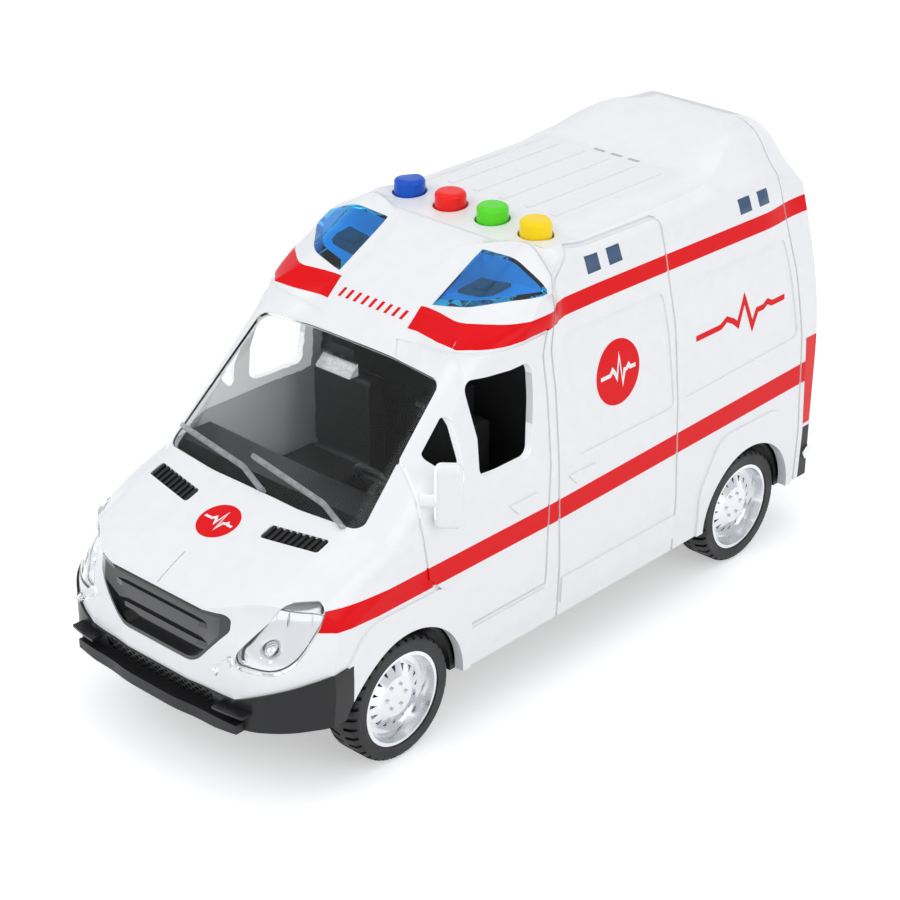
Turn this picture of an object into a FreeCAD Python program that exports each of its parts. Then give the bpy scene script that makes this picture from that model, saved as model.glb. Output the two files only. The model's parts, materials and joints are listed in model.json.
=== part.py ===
import FreeCAD, Part
import math
import os
import re
import Sketcher

# Toy ambulance van, 1 unit = 1 mm. Front is -Y, the vehicle's left side is +X, Z is up.
# The origin is on the ground under the middle of the bounding box.
# A size called a setback is measured rearwards from the front end of the bumper.

SIZES = {
    # whole vehicle
    "wheelbase": 130.0, "front_overhang": 43.0, "rear_overhang": 34.4, "overrun": 6.0, "seat_gap": 0.1,
    # wheels and axles
    "wheel_radius": 15.6, "tyre_width": 10.0, "tyre_outer_face": 39.4, "tread_depth": 0.9,
    "tread_groove_width": 0.9, "tread_groove_reach": 4.2, "tyre_shoulder": 1.5, "tread_slant": 0.35,
    "rim_radius": 11.8, "rim_recess": 0.3, "rim_lip": 0.9, "rim_depth": 3.2, "dish_radius": 8.6,
    "dish_rise": 1.6, "hub_cap_radius": 5.0, "hub_wall": 1.2, "rim_barrel_depth": 8.5, "rim_step": 9.8,
    "hub_boss_radius": 3.2, "axle_radius": 1.5, "axle_play": 0.25, "axle_end_gap": 2.0,
    "vent_hole_length": 1.7, "vent_hole_width": 1.2, "vent_hole_place": 6.1, "stud_radius": 0.45, "stud_place": 3.1,
    "stud_height": 0.5,
    # side outline of the shell, each height above the one before
    "floor_height": 15.5, "bumper_height": 11.0, "nose_rise": 20.3, "hood_front_rise": 4.9,
    "hood_rise": 6.9, "screen_rise": 28.5, "brow_rise": 5.5, "cap_rise": 13.0, "roof_rise": 1.4,
    "hump_rise": 6.0, "nose_setback": 3.4, "nose_lean": 0.9, "hood_setback": 13.5, "cowl_setback": 34.5,
    "screen_run": 32.3, "brow_run": 3.8, "cap_run": 24.8, "roof_run": 16.6, "hump_length": 41.4,
    "hump_rise_length": 26.0, "tail_round_length": 7.0, "tail_round_drop": 9.0, "brow_round": 7.0,
    "hood_round": 60.0, "nose_edge_round": 3.5, "hump_round": 9.0,
    # cross section of the shell
    "sill_half_width": 40.5, "belly_half_width": 41.0, "belly_rise": 14.5, "waist_half_width": 39.8,
    "waist_drop": 0.6, "shoulder_half_width": 37.9, "shoulder_rise": 19.0, "eave_half_width": 31.4,
    "eave_drop": 2.4, "crown_half_width": 22.5, "crown_edge_rise": 3.6, "crown_flat_half_width": 12.0,
    "waist_round": 60.0, "shoulder_round": 40.0, "eave_round": 5.0, "crown_round": 18.0,
    # plan outline of the nose and the tail
    "nose_flat_half_width": 14.0, "cheek_half_width": 33.0, "cheek_setback": 12.0,
    "flank_setback": 30.0, "nose_round": 40.0, "cheek_round": 22.0, "tail_plan_gap": 0.8,
    "tail_corner_round": 11.0,
    # bowed windshield, cap and hood: half widths and drops of the crowned sections
    "bow_flat_half_width": 10.0, "bow_round": 45.0, "bow_side_round": 9.0,
    "screen_bow_half_width": 31.0, "screen_bow_drop": 2.2, "screen_side_half_width": 38.0,
    "screen_side_drop": 7.5, "cap_bow_half_width": 26.0, "cap_bow_drop": 1.6, "cap_side_half_width": 33.5,
    "cap_side_drop": 6.5, "hood_bow_half_width": 29.0, "hood_bow_drop": 1.4, "hood_side_half_width": 38.5,
    "hood_side_drop": 5.5, "bow_skirt": 30.0,
    # shell walls, seams and panel lines
    "shell_wall": 2.0, "liner_gap": 0.2, "well_wall": 1.1, "tail_wall": 3.5, "cap_to_seam": 0.6,
    "seam_bend_drop": 11.0, "seam_roof_shift": 3.8, "tail_length": 11.7, "seam_gap": 0.1,
    "line_width": 0.8, "line_depth": 0.45, "sliding_door_length": 46.3, "door_rear_gap": 2.6,
    "door_rear_lean": 2.2, "door_bottom_rise": 11.2, "door_front_setback": 50.0, "door_kink_drop": 14.0,
    "pillar_kink_setback": 51.4, "pillar_kink_rise": 15.3, "pillar_setback": 63.6, "pillar_rise": 24.7,
    "door_top_rise": 2.2, "sill_strip_rise": 3.8, "sill_strip_height": 6.8,
    "panel_low_drop": 1.6, "panel_high_drop": 20.2, "panel_edge_gap": 3.4, "panel_lean": 3.6,
    "panel_round": 2.2, "upper_panel_drop": 0.8,
    # wheel arches
    "arch_radius": 18.6, "arch_inner_half_width": 26.5, "flare_half_length": 21.2,
    "flare_shoulder_rise": 13.4, "flare_top_half_length": 12.8, "flare_rise": 25.6, "flare_round": 8.0,
    # bumpers
    "bumper_end_rise": 7.5, "bumper_end_gap": 16.5, "bumper_proud": 0.6, "bumper_wall": 2.2,
    "lip_rise": 5.0, "lip_bottom_rise": 1.1, "lip_half_width": 27.0, "rear_bumper_length": 9.5,
    "rear_bumper_height": 15.5, "bumper_cheek_half_width": 24.0, "bumper_flat_half_width": 12.0,
    "bumper_sweep": 4.6, "intake_half_width": 18.0, "intake_rise": 6.2, "intake_height": 4.6,
    "intake_depth": 1.1, "intake_round": 1.0, "mesh_pitch": 2.2, "mesh_width": 0.7,
    "blade_inner": 20.5, "blade_outer": 29.0, "blade_rise": 8.2, "blade_height": 0.9,
    # windshield opening, along the slope
    "screen_low_half_width": 32.0, "screen_low_rise": 2.0, "screen_high_half_width": 29.3,
    "screen_high_drop": 2.1, "screen_top_drop": 0.8, "screen_bottom_rise": 0.6, "screen_corner_round": 3.0,
    "screen_middle_half_width": 14.0,
    # wipers and the inside mirror, moulded on the windshield
    "wiper_width": 1.1, "wiper_length": 25.0, "wiper_low_rise": 3.8, "wiper_end_rise": 7.0,
    "wiper_right": -6.8, "wiper_left": 18.0, "wiper_arm_length": 8.5, "wiper_arm_drop": 3.2,
    "inside_mirror_half_width": 5.5, "inside_mirror_drop": 5.0, "inside_mirror_length": 3.0,
    "inside_mirror_top_drop": 3.1, "inside_mirror_gap": 2.5,
    # side windows of the cab
    "door_window_front_run": 2.2, "door_window_low_rise": 3.7, "door_window_high_drop": 2.7,
    "door_window_rear_gap": 9.7, "door_window_rear_top_gap": 6.9, "door_window_round": 2.5,
    "quarter_window_rear_gap": 2.8, "quarter_window_low_rise": 2.3, "quarter_window_high_drop": 7.5,
    "quarter_window_front_gap": 11.8, "quarter_window_front_rise": 12.4, "quarter_window_round": 1.2,
    "handle_front_gap": 18.0, "handle_length": 10.0, "handle_drop": 8.4, "handle_height": 3.0,
    # roof lights
    "beacon_inner_half_width": 16.7, "beacon_low_rise": 3.8, "beacon_rear_gap": 2.0,
    "clear_wall": 1.2, "beacon_tray_wall": 1.2, "beacon_board_thickness": 0.8, "beacon_board_length": 7.0,
    "beacon_board_width": 8.0, "beacon_board_gap": 1.4, "beacon_led_size": 3.0, "beacon_led_height": 0.8,
    # roof buttons
    "button_run": 12.2, "button_pitch": 13.65, "button_radius": 3.9, "button_hole_radius": 4.4,
    "button_rise": 3.4, "button_round": 1.2, "button_flange_radius": 5.2,
    "button_flange_thickness": 1.0, "button_flange_drop": 1.4,
    # small windows of the rear body
    "pane_width": 4.9, "pane_high_drop": 3.6, "pane_height": 5.0, "pane_first_run": 16.5,
    "pane_pitch": 8.1, "pane_rear_gap": 23.0, "pane_drop": 1.7, "pane_lean": 0.5,
    # roof ribs and sound slots
    "rib_pitch": 8.3, "rib_width": 1.6, "rib_rise": 0.35, "rib_start_run": 23.0, "rib_end_gap": 6.0,
    "slot_pitch": 5.6, "slot_width": 3.6, "slot_length": 1.4, "slot_gap": 3.0,
    # grille
    "grille_half_width": 21.6, "grille_top_drop": 0.6, "grille_bottom_rise": 5.2,
    "grille_low_half_width": 12.5, "grille_shoulder_drop": 4.6, "grille_depth": 3.5, "grille_frame": 1.0,
    "grille_round": 2.0, "grille_low_round": 7.0, "slat_thickness": 1.3,
    # hood air vents
    "vent_inner": 12.2, "vent_outer": 28.0, "vent_front_gap": 9.8, "vent_length": 4.3,
    "vent_shift": 3.4, "vent_round": 0.8, "vent_rib_pitch": 1.75, "vent_rib_width": 0.8,
    # lamps
    "lamp_inner": 24.0, "lamp_turn_run": 12.9, "lamp_turn_rise": 9.55, "lamp_low_drop": 12.4,
    "lamp_width": 17.4, "lamp_height": 14.8, "lamp_corner_round": 1.8, "lamp_low_round": 7.5,
    "lamp_high_round": 4.0, "lamp_back_gap": 2.5, "lamp_reach": 18.0, "bulb_place": 31.7,
    "bulb_rise": 4.2, "bulb_radius": 1.3, "bowl_radius": 4.2, "bowl_depth": 4.0,
    "marker_radius": 1.2, "marker_half_width": 22.9, "marker_drop": 11.2, "marker_length": 4.0,
    "marker_rise": 0.5, "tail_lamp_gap": 1.0, "tail_lamp_height": 25.0, "tail_lamp_length": 9.6,
    "tail_lamp_inner": 33.5, "reflector_radius": 1.9, "reflector_rise": 7.3, "reflector_rear_gap": 6.9,
    "reflector_proud": 0.5, "reflector_depth": 1.4,
    # rear doors
    "rear_door_half_width": 31.0, "rear_door_top_drop": 13.0, "rear_window_half_width": 11.5,
    "rear_window_height": 24.0, "rear_window_rise": 6.0, "rear_window_place": 16.5,
    "rear_handle_height": 8.0, "rear_handle_width": 2.2, "rear_handle_place": 3.5, "rear_face_depth": 6.0,
    # mirrors
    "mirror_run": 13.1, "mirror_length": 3.6, "mirror_inner": 40.0, "mirror_outer": 46.4,
    "mirror_drop": 1.1, "mirror_height": 16.0, "mirror_round": 1.6, "mirror_stalk_radius": 1.4,
    "mirror_stalk_rise": 6.5, "mirror_stalk_reach": 3.0,
    # chassis
    "chassis_drop": 0.5, "bearing_drop": 3.1, "chassis_thickness": 2.5, "chassis_half_width": 38.0,
    "bearing_width": 3.0, "bearing_half_span": 22.0, "bearing_half_length": 4.0, "hatch_run": 37.0,
    "hatch_length": 50.0, "hatch_width": 34.0, "hatch_thickness": 1.2, "screw_recess_radius": 2.6,
    "screw_recess_depth": 1.2, "screw_half_width": 19.0, "screw_end_gap": 8.0,
    # cab inside
    "cab_floor_clearance": 1.8, "cab_floor_thickness": 1.5, "firewall_gap": 1.0, "bulkhead_gap": 3.0,
    "bulkhead_thickness": 1.5, "bulkhead_drop": 2.6, "dash_run": 7.5, "dash_length": 11.5,
    "dash_drop": 0.6, "dash_half_width": 33.5, "dash_thickness": 12.0, "dash_lip": 5.0,
    "seat_half_width": 9.5, "seat_offset": 17.0, "seat_rear_gap": 7.0, "seat_length": 20.0,
    "seat_rise": 7.5, "back_thickness": 5.5, "back_rise": 30.5, "head_width": 9.0, "head_height": 7.0,
    "seat_round": 1.5, "steering_radius": 6.2, "steering_tube": 0.8, "steering_gap": 5.0,
    "steering_drop": 0.5, "steering_tilt": 35.0, "steering_column_radius": 1.0,
    "steering_column_length": 4.6,
}

# Places worked out from the sizes; each name can be used like a size.
PLACES = {
    "length": "front_overhang + wheelbase + rear_overhang",
    "bumper_top_height": "floor_height + bumper_height",
    "nose_height": "bumper_top_height + nose_rise",
    "hood_height": "nose_height + hood_front_rise",
    "cowl_height": "hood_height + hood_rise",
    "screen_top_height": "cowl_height + screen_rise",
    "brow_height": "screen_top_height + brow_rise",
    "cap_height": "brow_height + cap_rise",
    "roof_height": "cap_height + roof_rise",
    "height": "roof_height + hump_rise",
    "screen_top_setback": "cowl_setback + screen_run",
    "brow_setback": "screen_top_setback + brow_run",
    "cap_setback": "brow_setback + cap_run",
    "seam_setback": "cap_setback + cap_to_seam",
    "slide_rear_setback": "seam_setback + sliding_door_length",
    "seam_rear_setback": "length - tail_length",
    "hump_setback": "length - hump_length",
    "belly_height": "floor_height + belly_rise",
    "waist_height": "cowl_height - waist_drop",
    "shoulder_height": "waist_height + shoulder_rise",
    "eave_height": "roof_height - eave_drop",
    "crown_edge_height": "roof_height + crown_edge_rise",
    "bumper_end_height": "bumper_top_height + bumper_end_rise",
    "bumper_end_setback": "front_overhang - bumper_end_gap",
    "rear_bumper_top": "floor_height + rear_bumper_height",
    "screen_length": "sqrt(screen_run ^ 2 + screen_rise ^ 2)",
    "lamp_low_height": "nose_height - lamp_low_drop",
    "tail_lamp_low": "rear_bumper_top + tail_lamp_gap",
    "beacon_low_height": "brow_height + beacon_low_rise",
    "chassis_bottom": "floor_height - chassis_drop",
    "bearing_bottom": "wheel_radius - bearing_drop",
    "cab_floor_height": "wheel_radius + arch_radius + cab_floor_clearance",
    "cab_floor_top": "cab_floor_height + cab_floor_thickness",
    "firewall_setback": "front_overhang + firewall_gap",
    "bulkhead_setback": "seam_setback - bulkhead_gap",
    "dash_front_setback": "cowl_setback + dash_run",
    "dash_rear_setback": "dash_front_setback + dash_length",
    "dash_height": "cowl_height - dash_drop",
    "dash_low": "dash_height - dash_thickness",
    "seat_rear_setback": "bulkhead_setback - seat_rear_gap",
    "seat_front_setback": "seat_rear_setback - seat_length",
    "seat_height": "cab_floor_top + seat_rise",
    "back_top": "cab_floor_top + back_rise",
    "mirror_setback": "cowl_setback + mirror_run",
    "mirror_low": "cowl_height - mirror_drop",
    "button_setback": "seam_setback + button_run",
    "door_low_height": "floor_height + door_bottom_rise",
    "door_rear_setback": "seam_setback - door_rear_gap",
    "panel_low_height": "waist_height - panel_low_drop",
    "panel_high_height": "roof_height - panel_high_drop",
}

doc = FreeCAD.newDocument("ambulance")
sheet = doc.addObject("Spreadsheet::Sheet", "Sizes")
for row, (size_name, size) in enumerate(SIZES.items(), 1):
    sheet.set("A%d" % row, size_name)
    sheet.set("B%d" % row, str(size))
    sheet.setAlias("B%d" % row, size_name)
doc.recompute()

FRONT = "(-length / 2)"
REAR = "(length / 2)"
SPREAD = "(2 * length)"
SIDE_VIEW = FreeCAD.Rotation(FreeCAD.Vector(1, 1, 1), 120)
FRONT_VIEW = FreeCAD.Rotation(FreeCAD.Vector(1, 0, 0), 90)
TOP_VIEW = FreeCAD.Rotation()
nodes = {}


def spelled(text):
    """The expression with each place written out in sizes."""
    def spell(word):
        return "(" + spelled(PLACES[word[0]]) + ")" if word[0] in PLACES else word[0]
    return re.sub(r"[a-z][a-z_0-9]*", spell, text)


def bound(text):
    """The expression with each size's name pointed at the sheet."""
    return re.sub(r"[a-z][a-z_0-9]*", lambda word: "Sizes." + word[0] if word[0] in SIZES else word[0], spelled(text))


def value(text):
    """The number that an expression in the sizes' names gives."""
    return float(sheet.evalExpression(spelled(text)))


def setback(name):
    """The place along Y of a size that is measured from the front end."""
    return "(%s + %s)" % (FRONT, name)


def pin(sketch, geometry, point, corner):
    """Fix a point of the sketch at a corner's two expressions."""
    for kind, text, axis in (("DistanceX", corner[0], -2), ("DistanceY", corner[1], -1)):
        if text == "0":
            sketch.addConstraint(Sketcher.Constraint("PointOnObject", geometry, point, axis))
        else:
            number = sketch.addConstraint(Sketcher.Constraint(kind, -1, 1, geometry, point, value(text)))
            sketch.setExpression("Constraints[%d]" % number, bound(text))


def corner_arc(before, spot, after, radius):
    """The tangent arc in a corner, its ends on the two lines, and whether the outline turns left."""
    back = (before - spot).normalize()
    ahead = (after - spot).normalize()
    half = back.getAngle(ahead) / 2
    centre = spot + (back + ahead).normalize() * (radius / math.sin(half))
    reach = radius / math.tan(half)
    left = back.cross(ahead).z < 0
    ends = [spot + back * reach, spot + ahead * reach]
    angles = [math.atan2(end.y - centre.y, end.x - centre.x) for end in (ends if left else ends[::-1])]
    if angles[1] < angles[0]:
        angles[1] += 2 * math.pi
    circle = Part.Circle(centre, FreeCAD.Vector(0, 0, 1), radius)
    return Part.ArcOfCircle(circle, angles[0], angles[1]), ends, left


def add_loop(sketch, corners):
    """A closed outline; a corner is (across, up) or (across, up, radius), all expressions."""
    spots = [FreeCAD.Vector(value(corner[0]), value(corner[1]), 0) for corner in corners]
    count = len(corners)
    ends, arcs = {}, {}
    for i, corner in enumerate(corners):
        ends[i] = (spots[i], spots[i])
        if len(corner) == 3:
            arc, ends[i], left = corner_arc(spots[i - 1], spots[i], spots[(i + 1) % count], value(corner[2]))
            arcs[i] = (arc, left)
    lines = []
    for i in range(count):
        lines.append(sketch.addGeometry(Part.LineSegment(ends[i][1], ends[(i + 1) % count][0])))
    for i, corner in enumerate(corners):
        before, after = lines[i - 1], lines[i]
        if i not in arcs:
            sketch.addConstraint(Sketcher.Constraint("Coincident", before, 2, after, 1))
            pin(sketch, after, 1, corner)
            continue
        arc = sketch.addGeometry(arcs[i][0])
        near, far = (1, 2) if arcs[i][1] else (2, 1)
        point = sketch.addGeometry(Part.Point(spots[i]), True)
        sketch.addConstraint(Sketcher.Constraint("Tangent", before, 2, arc, near))
        sketch.addConstraint(Sketcher.Constraint("Tangent", arc, far, after, 1))
        sketch.addConstraint(Sketcher.Constraint("PointOnObject", point, 1, before))
        sketch.addConstraint(Sketcher.Constraint("PointOnObject", point, 1, after))
        pin(sketch, point, 1, corner)
        number = sketch.addConstraint(Sketcher.Constraint("Radius", arc, value(corner[2])))
        sketch.setExpression("Constraints[%d]" % number, bound(corner[2]))


def mirrored(right_side):
    """The right side's corners from bottom to top, closed by their mirror images."""
    left_side = [("-(%s)" % corner[0],) + tuple(corner[1:]) for corner in reversed(right_side) if corner[0] != "0"]
    return list(right_side) + left_side


def rectangle(left, right, low, high, *radius):
    return [(x, y) + radius for x, y in ((left, low), (right, low), (right, high), (left, high))]


def drawn(name, rotation, corners, base=FreeCAD.Vector()):
    """A free sketch of one closed outline, turned into its view."""
    sketch = doc.addObject("Sketcher::SketchObject", name)
    sketch.Placement = FreeCAD.Placement(base, rotation)
    add_loop(sketch, corners)
    return sketch


def extruded(name, sketch, depth=SPREAD, symmetric=True):
    solid = doc.addObject("Part::Extrusion", name)
    solid.Base = sketch
    solid.DirMode = "Normal"
    solid.Solid = True
    solid.Symmetric = symmetric
    solid.setExpression("LengthFwd", bound(depth))
    return solid


def prism(name, rotation, corners, depth=SPREAD, base=FreeCAD.Vector(), symmetric=True):
    return extruded(name, drawn(name + "_outline", rotation, corners, base), depth, symmetric)


def block(name, x_range, y_range, z_range):
    """A box from three pairs of expressions."""
    solid = doc.addObject("Part::Box", name)
    for size, axis, (low, high) in zip(("Length", "Width", "Height"), "xyz", (x_range, y_range, z_range)):
        solid.setExpression(size, bound("%s - (%s)" % (high, low)))
        solid.setExpression("Placement.Base." + axis, bound(low))
    return solid


def rod(name, radius, length, spot, rotation=TOP_VIEW):
    """A cylinder from a point given by three expressions, along the turned Z axis."""
    solid = doc.addObject("Part::Cylinder", name)
    solid.Placement.Rotation = rotation
    solid.setExpression("Radius", bound(radius))
    solid.setExpression("Height", bound(length))
    for axis, text in zip("xyz", spot):
        solid.setExpression("Placement.Base." + axis, bound(text))
    return solid


def common(name, *items):
    solid = doc.addObject("Part::MultiCommon", name)
    solid.Shapes = list(items)
    return solid


def fused(name, *items):
    solid = doc.addObject("Part::MultiFuse", name)
    solid.Shapes = list(items)
    solid.Refine = True
    return solid


def cut(name, base, *tools):
    solid = doc.addObject("Part::Cut", name)
    solid.Base = base
    solid.Tool = tools[0] if len(tools) == 1 else fused(name + "_tools", *tools)
    return solid


def both_sides(name, left_piece):
    """The piece and its mirror image as one node."""
    image = doc.addObject("Part::Mirroring", name + "_image")
    image.Source = left_piece
    image.Normal = FreeCAD.Vector(1, 0, 0)
    pair = doc.addObject("Part::Compound", name + "_pair")
    pair.Links = [left_piece, image]
    return pair


def node(name, item):
    item.Label = name
    nodes[name] = item
    return item


def slope(low_setback, low_height, high_setback, high_height):
    """The angle of a line of the side outline above the horizontal, in degrees."""
    run = value("%s - %s" % (high_setback, low_setback))
    return math.degrees(math.atan2(value("%s - %s" % (high_height, low_height)), run))


def crowned(name, low_setback, low_height, high_setback, high_height, bow):
    """A prism along a sloping line of the side outline whose top is bowed from side to side."""
    angle = slope(low_setback, low_height, high_setback, high_height)
    base = FreeCAD.Vector(0, value(setback(low_setback)), value(low_height))
    half, drop = bow + "_bow_half_width", bow + "_bow_drop"
    side, fall = bow + "_side_half_width", bow + "_side_drop"
    corners = mirrored([
        ("belly_half_width + overrun", "-2 * height"),
        ("belly_half_width + overrun", "-%s - bow_skirt" % fall),
        (side, "-" + fall, "bow_side_round"),
        (half, "-" + drop, "bow_side_round"),
        ("bow_flat_half_width", "0", "bow_round"),
    ])
    turn = FreeCAD.Rotation(FreeCAD.Vector(1, 0, 0), 90 + angle)
    return drawn(name, turn, corners, base)


section_sketch = drawn("section", FRONT_VIEW, mirrored([
    ("sill_half_width", "floor_height"),
    ("belly_half_width", "belly_height", "waist_round"),
    ("waist_half_width", "waist_height", "waist_round"),
    ("shoulder_half_width", "shoulder_height", "shoulder_round"),
    ("eave_half_width", "eave_height", "eave_round"),
    ("crown_half_width", "crown_edge_height", "crown_round"),
    ("crown_flat_half_width", "height"),
]))
cabin_sketch = drawn("cabin_side", SIDE_VIEW, [
    (setback("cowl_setback"), "floor_height"),
    (REAR, "floor_height"),
    (REAR, "roof_height - tail_round_drop"),
    (REAR + " - tail_round_length", "height", "hump_round"),
    (setback("hump_setback + hump_rise_length"), "height", "crown_round"),
    (setback("hump_setback"), "roof_height", "crown_round"),
    (setback("cap_setback + roof_run"), "roof_height", "crown_round"),
    (setback("cap_setback"), "cap_height", "crown_round"),
    (setback("brow_setback"), "brow_height", "brow_round"),
    (setback("screen_top_setback"), "screen_top_height"),
    (setback("cowl_setback"), "cowl_height"),
])
hood_sketch = drawn("hood_side", SIDE_VIEW, [
    (setback("nose_setback"), "floor_height"),
    (setback("screen_top_setback"), "floor_height"),
    (setback("screen_top_setback"), "cowl_height"),
    (setback("cowl_setback"), "cowl_height"),
    (setback("hood_setback"), "hood_height", "hood_round"),
    (setback("nose_setback + nose_lean"), "nose_height", "nose_edge_round"),
])
plan_sketch = drawn("nose_plan", TOP_VIEW, mirrored([
    ("nose_flat_half_width", setback("nose_setback"), "nose_round"),
    ("cheek_half_width", setback("cheek_setback"), "cheek_round"),
    ("belly_half_width + overrun", setback("flank_setback")),
    ("belly_half_width + overrun", REAR + " + overrun"),
]))
tail_plan_sketch = drawn("tail_plan", TOP_VIEW, mirrored([
    ("belly_half_width + tail_plan_gap", FRONT + " - overrun"),
    ("belly_half_width + tail_plan_gap", REAR, "tail_corner_round"),
]))
screen_sketch = crowned("screen_bow", "cowl_setback", "cowl_height", "screen_top_setback", "screen_top_height", "screen")
cap_sketch = crowned("cap_bow", "brow_setback", "brow_height", "cap_setback", "cap_height", "cap")
hood_bow_sketch = crowned("hood_bow", "hood_setback", "hood_height", "cowl_setback", "cowl_height", "hood")


def envelope(name, inset=None):
    """The van's whole outside as one solid, or the same solid a wall further in."""
    def layer(sketch):
        if inset is None:
            return extruded(name + "_" + sketch.Name, sketch)
        ring = doc.addObject("Part::Offset2D", name + "_" + sketch.Name + "_ring")
        ring.Source = sketch
        ring.Join = 2
        ring.setExpression("Value", bound("-(%s)" % inset))
        return extruded(name + "_" + sketch.Name, ring)
    section = layer(section_sketch)
    cabin = common(name + "_cabin", section, layer(cabin_sketch), layer(screen_sketch), layer(cap_sketch),
                   layer(tail_plan_sketch))
    hood = common(name + "_hood", section, layer(hood_sketch), layer(plan_sketch), layer(hood_bow_sketch))
    return fused(name, cabin, hood)


outer = envelope("outer")
inner = envelope("inner", "shell_wall")
proud = envelope("proud", "-bumper_proud")
bumper_inside = envelope("bumper_inside", "bumper_wall - bumper_proud")
clear_inside = envelope("clear_inside", "clear_wall")
line_inside = envelope("line_inside", "line_depth")
liner = envelope("liner", "shell_wall + liner_gap")
line_skin = cut("line_skin", outer, line_inside)
proud_skin = cut("proud_skin", proud, outer)
clear_skin = cut("clear_skin", outer, clear_inside)

WIDE = ("-(belly_half_width + overrun)", "belly_half_width + overrun")
TALL = ("-overrun", "height + overrun")
seam_rear = setback("seam_rear_setback")
front_axle = setback("front_overhang")
rear_axle = setback("front_overhang + wheelbase")
wheel_x = FreeCAD.Rotation(FreeCAD.Vector(0, 1, 0), 90)


def wheel_arches(name, reach="0"):
    """Round openings over the four wheels, cut in from both sides and further in by the reach."""
    arches = []
    for end, axle in (("front", front_axle), ("rear", rear_axle)):
        spot = ("(arch_inner_half_width - (%s))" % reach, axle, "wheel_radius")
        arch = rod(name + end, "arch_radius", "belly_half_width + overrun - " + spot[0], spot, wheel_x)
        low = block(name + end + "_low", (spot[0], WIDE[1]), (axle + " - arch_radius", axle + " + arch_radius"),
                    ("-overrun", "wheel_radius"))
        arches += [arch, low]
    return both_sides(name + "pair", fused(name + "one_side", *arches))


def side_line(name, *corners):
    """The band between a closed outline in the side view and the same outline a line's width further in."""
    sketch = drawn(name + "_outline", SIDE_VIEW, list(corners))
    ring = doc.addObject("Part::Offset2D", name + "_ring")
    ring.Source = sketch
    ring.Join = 2
    ring.setExpression("Value", bound("-line_width"))
    return cut(name, extruded(name + "_outside", sketch), extruded(name + "_inside", ring))


def seam_corners(shift, front):
    """The corners of the seam between the cab and the body, moved back by the shift."""
    seam = "seam_setback + " + shift
    back = setback(seam + " + seam_roof_shift")
    bend = [(setback(seam), "-overrun"), (setback(seam), "roof_height - seam_bend_drop"),
            (back, "roof_height"), (back, "height + overrun")]
    return bend + [(front, "height + overrun"), (front, "-overrun")]


below = block("below_floor", ("-sill_half_width + shell_wall", "sill_half_width - shell_wall"),
              (setback("bumper_end_setback"), REAR + " - tail_wall"), ("-overrun", "floor_height + 2 * shell_wall"))
hollow = cut("hollow", outer, inner, below)
arches = wheel_arches("arch_")
front_bumper_zone = prism("front_bumper_zone", FRONT_VIEW, mirrored([
    ("belly_half_width + overrun", "-overrun"),
    ("belly_half_width + overrun", "bumper_end_height"),
    ("sill_half_width", "bumper_end_height"),
    ("bumper_cheek_half_width", "bumper_top_height"),
]), "bumper_end_setback + overrun", FreeCAD.Vector(0, value(setback("bumper_end_setback")), 0), False)
rear_bumper_zone = block("rear_bumper_zone", WIDE, (REAR + " - rear_bumper_length", REAR + " + overrun"),
                         ("-overrun", "rear_bumper_top"))
tail_lamp_zone = both_sides("tail_lamp_zone", block(
    "tail_lamp_block", ("tail_lamp_inner", WIDE[1]), (REAR + " - tail_lamp_length", REAR + " + overrun"),
    ("tail_lamp_low", "tail_lamp_low + tail_lamp_height")))
beacon_zone = both_sides("beacon_zone", block(
    "beacon_block", ("beacon_inner_half_width", WIDE[1]), (FRONT, setback("seam_setback - beacon_rear_gap")),
    ("beacon_low_height", "height + overrun")))
beacon_tray_zone = both_sides("beacon_tray_zone", block(
    "beacon_tray_block", ("beacon_inner_half_width - beacon_tray_wall", WIDE[1]),
    (FRONT, setback("seam_setback - beacon_rear_gap + beacon_tray_wall")),
    ("beacon_low_height - beacon_tray_wall", "height + overrun")))

# Windshield opening, drawn on the slope of the windshield.
screen_angle = slope("cowl_setback", "cowl_height", "screen_top_setback", "screen_top_height")
screen_view = FreeCAD.Rotation(FreeCAD.Vector(1, 0, 0), screen_angle)
screen_base = FreeCAD.Vector(0, value(setback("cowl_setback")), value("cowl_height"))
SCREEN_DEPTH = "2 * (shell_wall + screen_bow_drop + overrun)"


def screen_zone(name, gap):
    return prism(name, screen_view, mirrored([
        ("screen_middle_half_width", "screen_bottom_rise + %s" % gap, "nose_round"),
        ("screen_low_half_width - %s" % gap, "screen_low_rise + %s" % gap, "screen_corner_round"),
        ("screen_high_half_width - %s" % gap, "screen_length - screen_high_drop - %s" % gap, "screen_corner_round"),
        ("screen_middle_half_width", "screen_length - screen_top_drop - %s" % gap, "nose_round"),
    ]), SCREEN_DEPTH, screen_base)


screen_opening = screen_zone("screen_opening", "0")
window_high = "screen_top_height - door_window_high_drop"
window_low = "cowl_height + door_window_low_rise"
window_front = setback("screen_top_setback + door_window_front_run")
door_windows = prism("door_windows", SIDE_VIEW, [
    (window_front, window_low, "door_window_round"),
    (setback("seam_setback - door_window_rear_gap"), window_low, "door_window_round"),
    (setback("seam_setback - door_window_rear_top_gap"), window_high, "door_window_round"),
    (window_front, window_high, "door_window_round"),
])
quarter_rear = setback("screen_top_setback - quarter_window_rear_gap")
quarter_windows = prism("quarter_windows", SIDE_VIEW, [
    (quarter_rear, "cowl_height + quarter_window_low_rise", "quarter_window_round"),
    (quarter_rear, "screen_top_height - quarter_window_high_drop", "quarter_window_round"),
    (setback("screen_top_setback - quarter_window_front_gap"), "cowl_height + quarter_window_front_rise",
     "quarter_window_round"),
])

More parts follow.
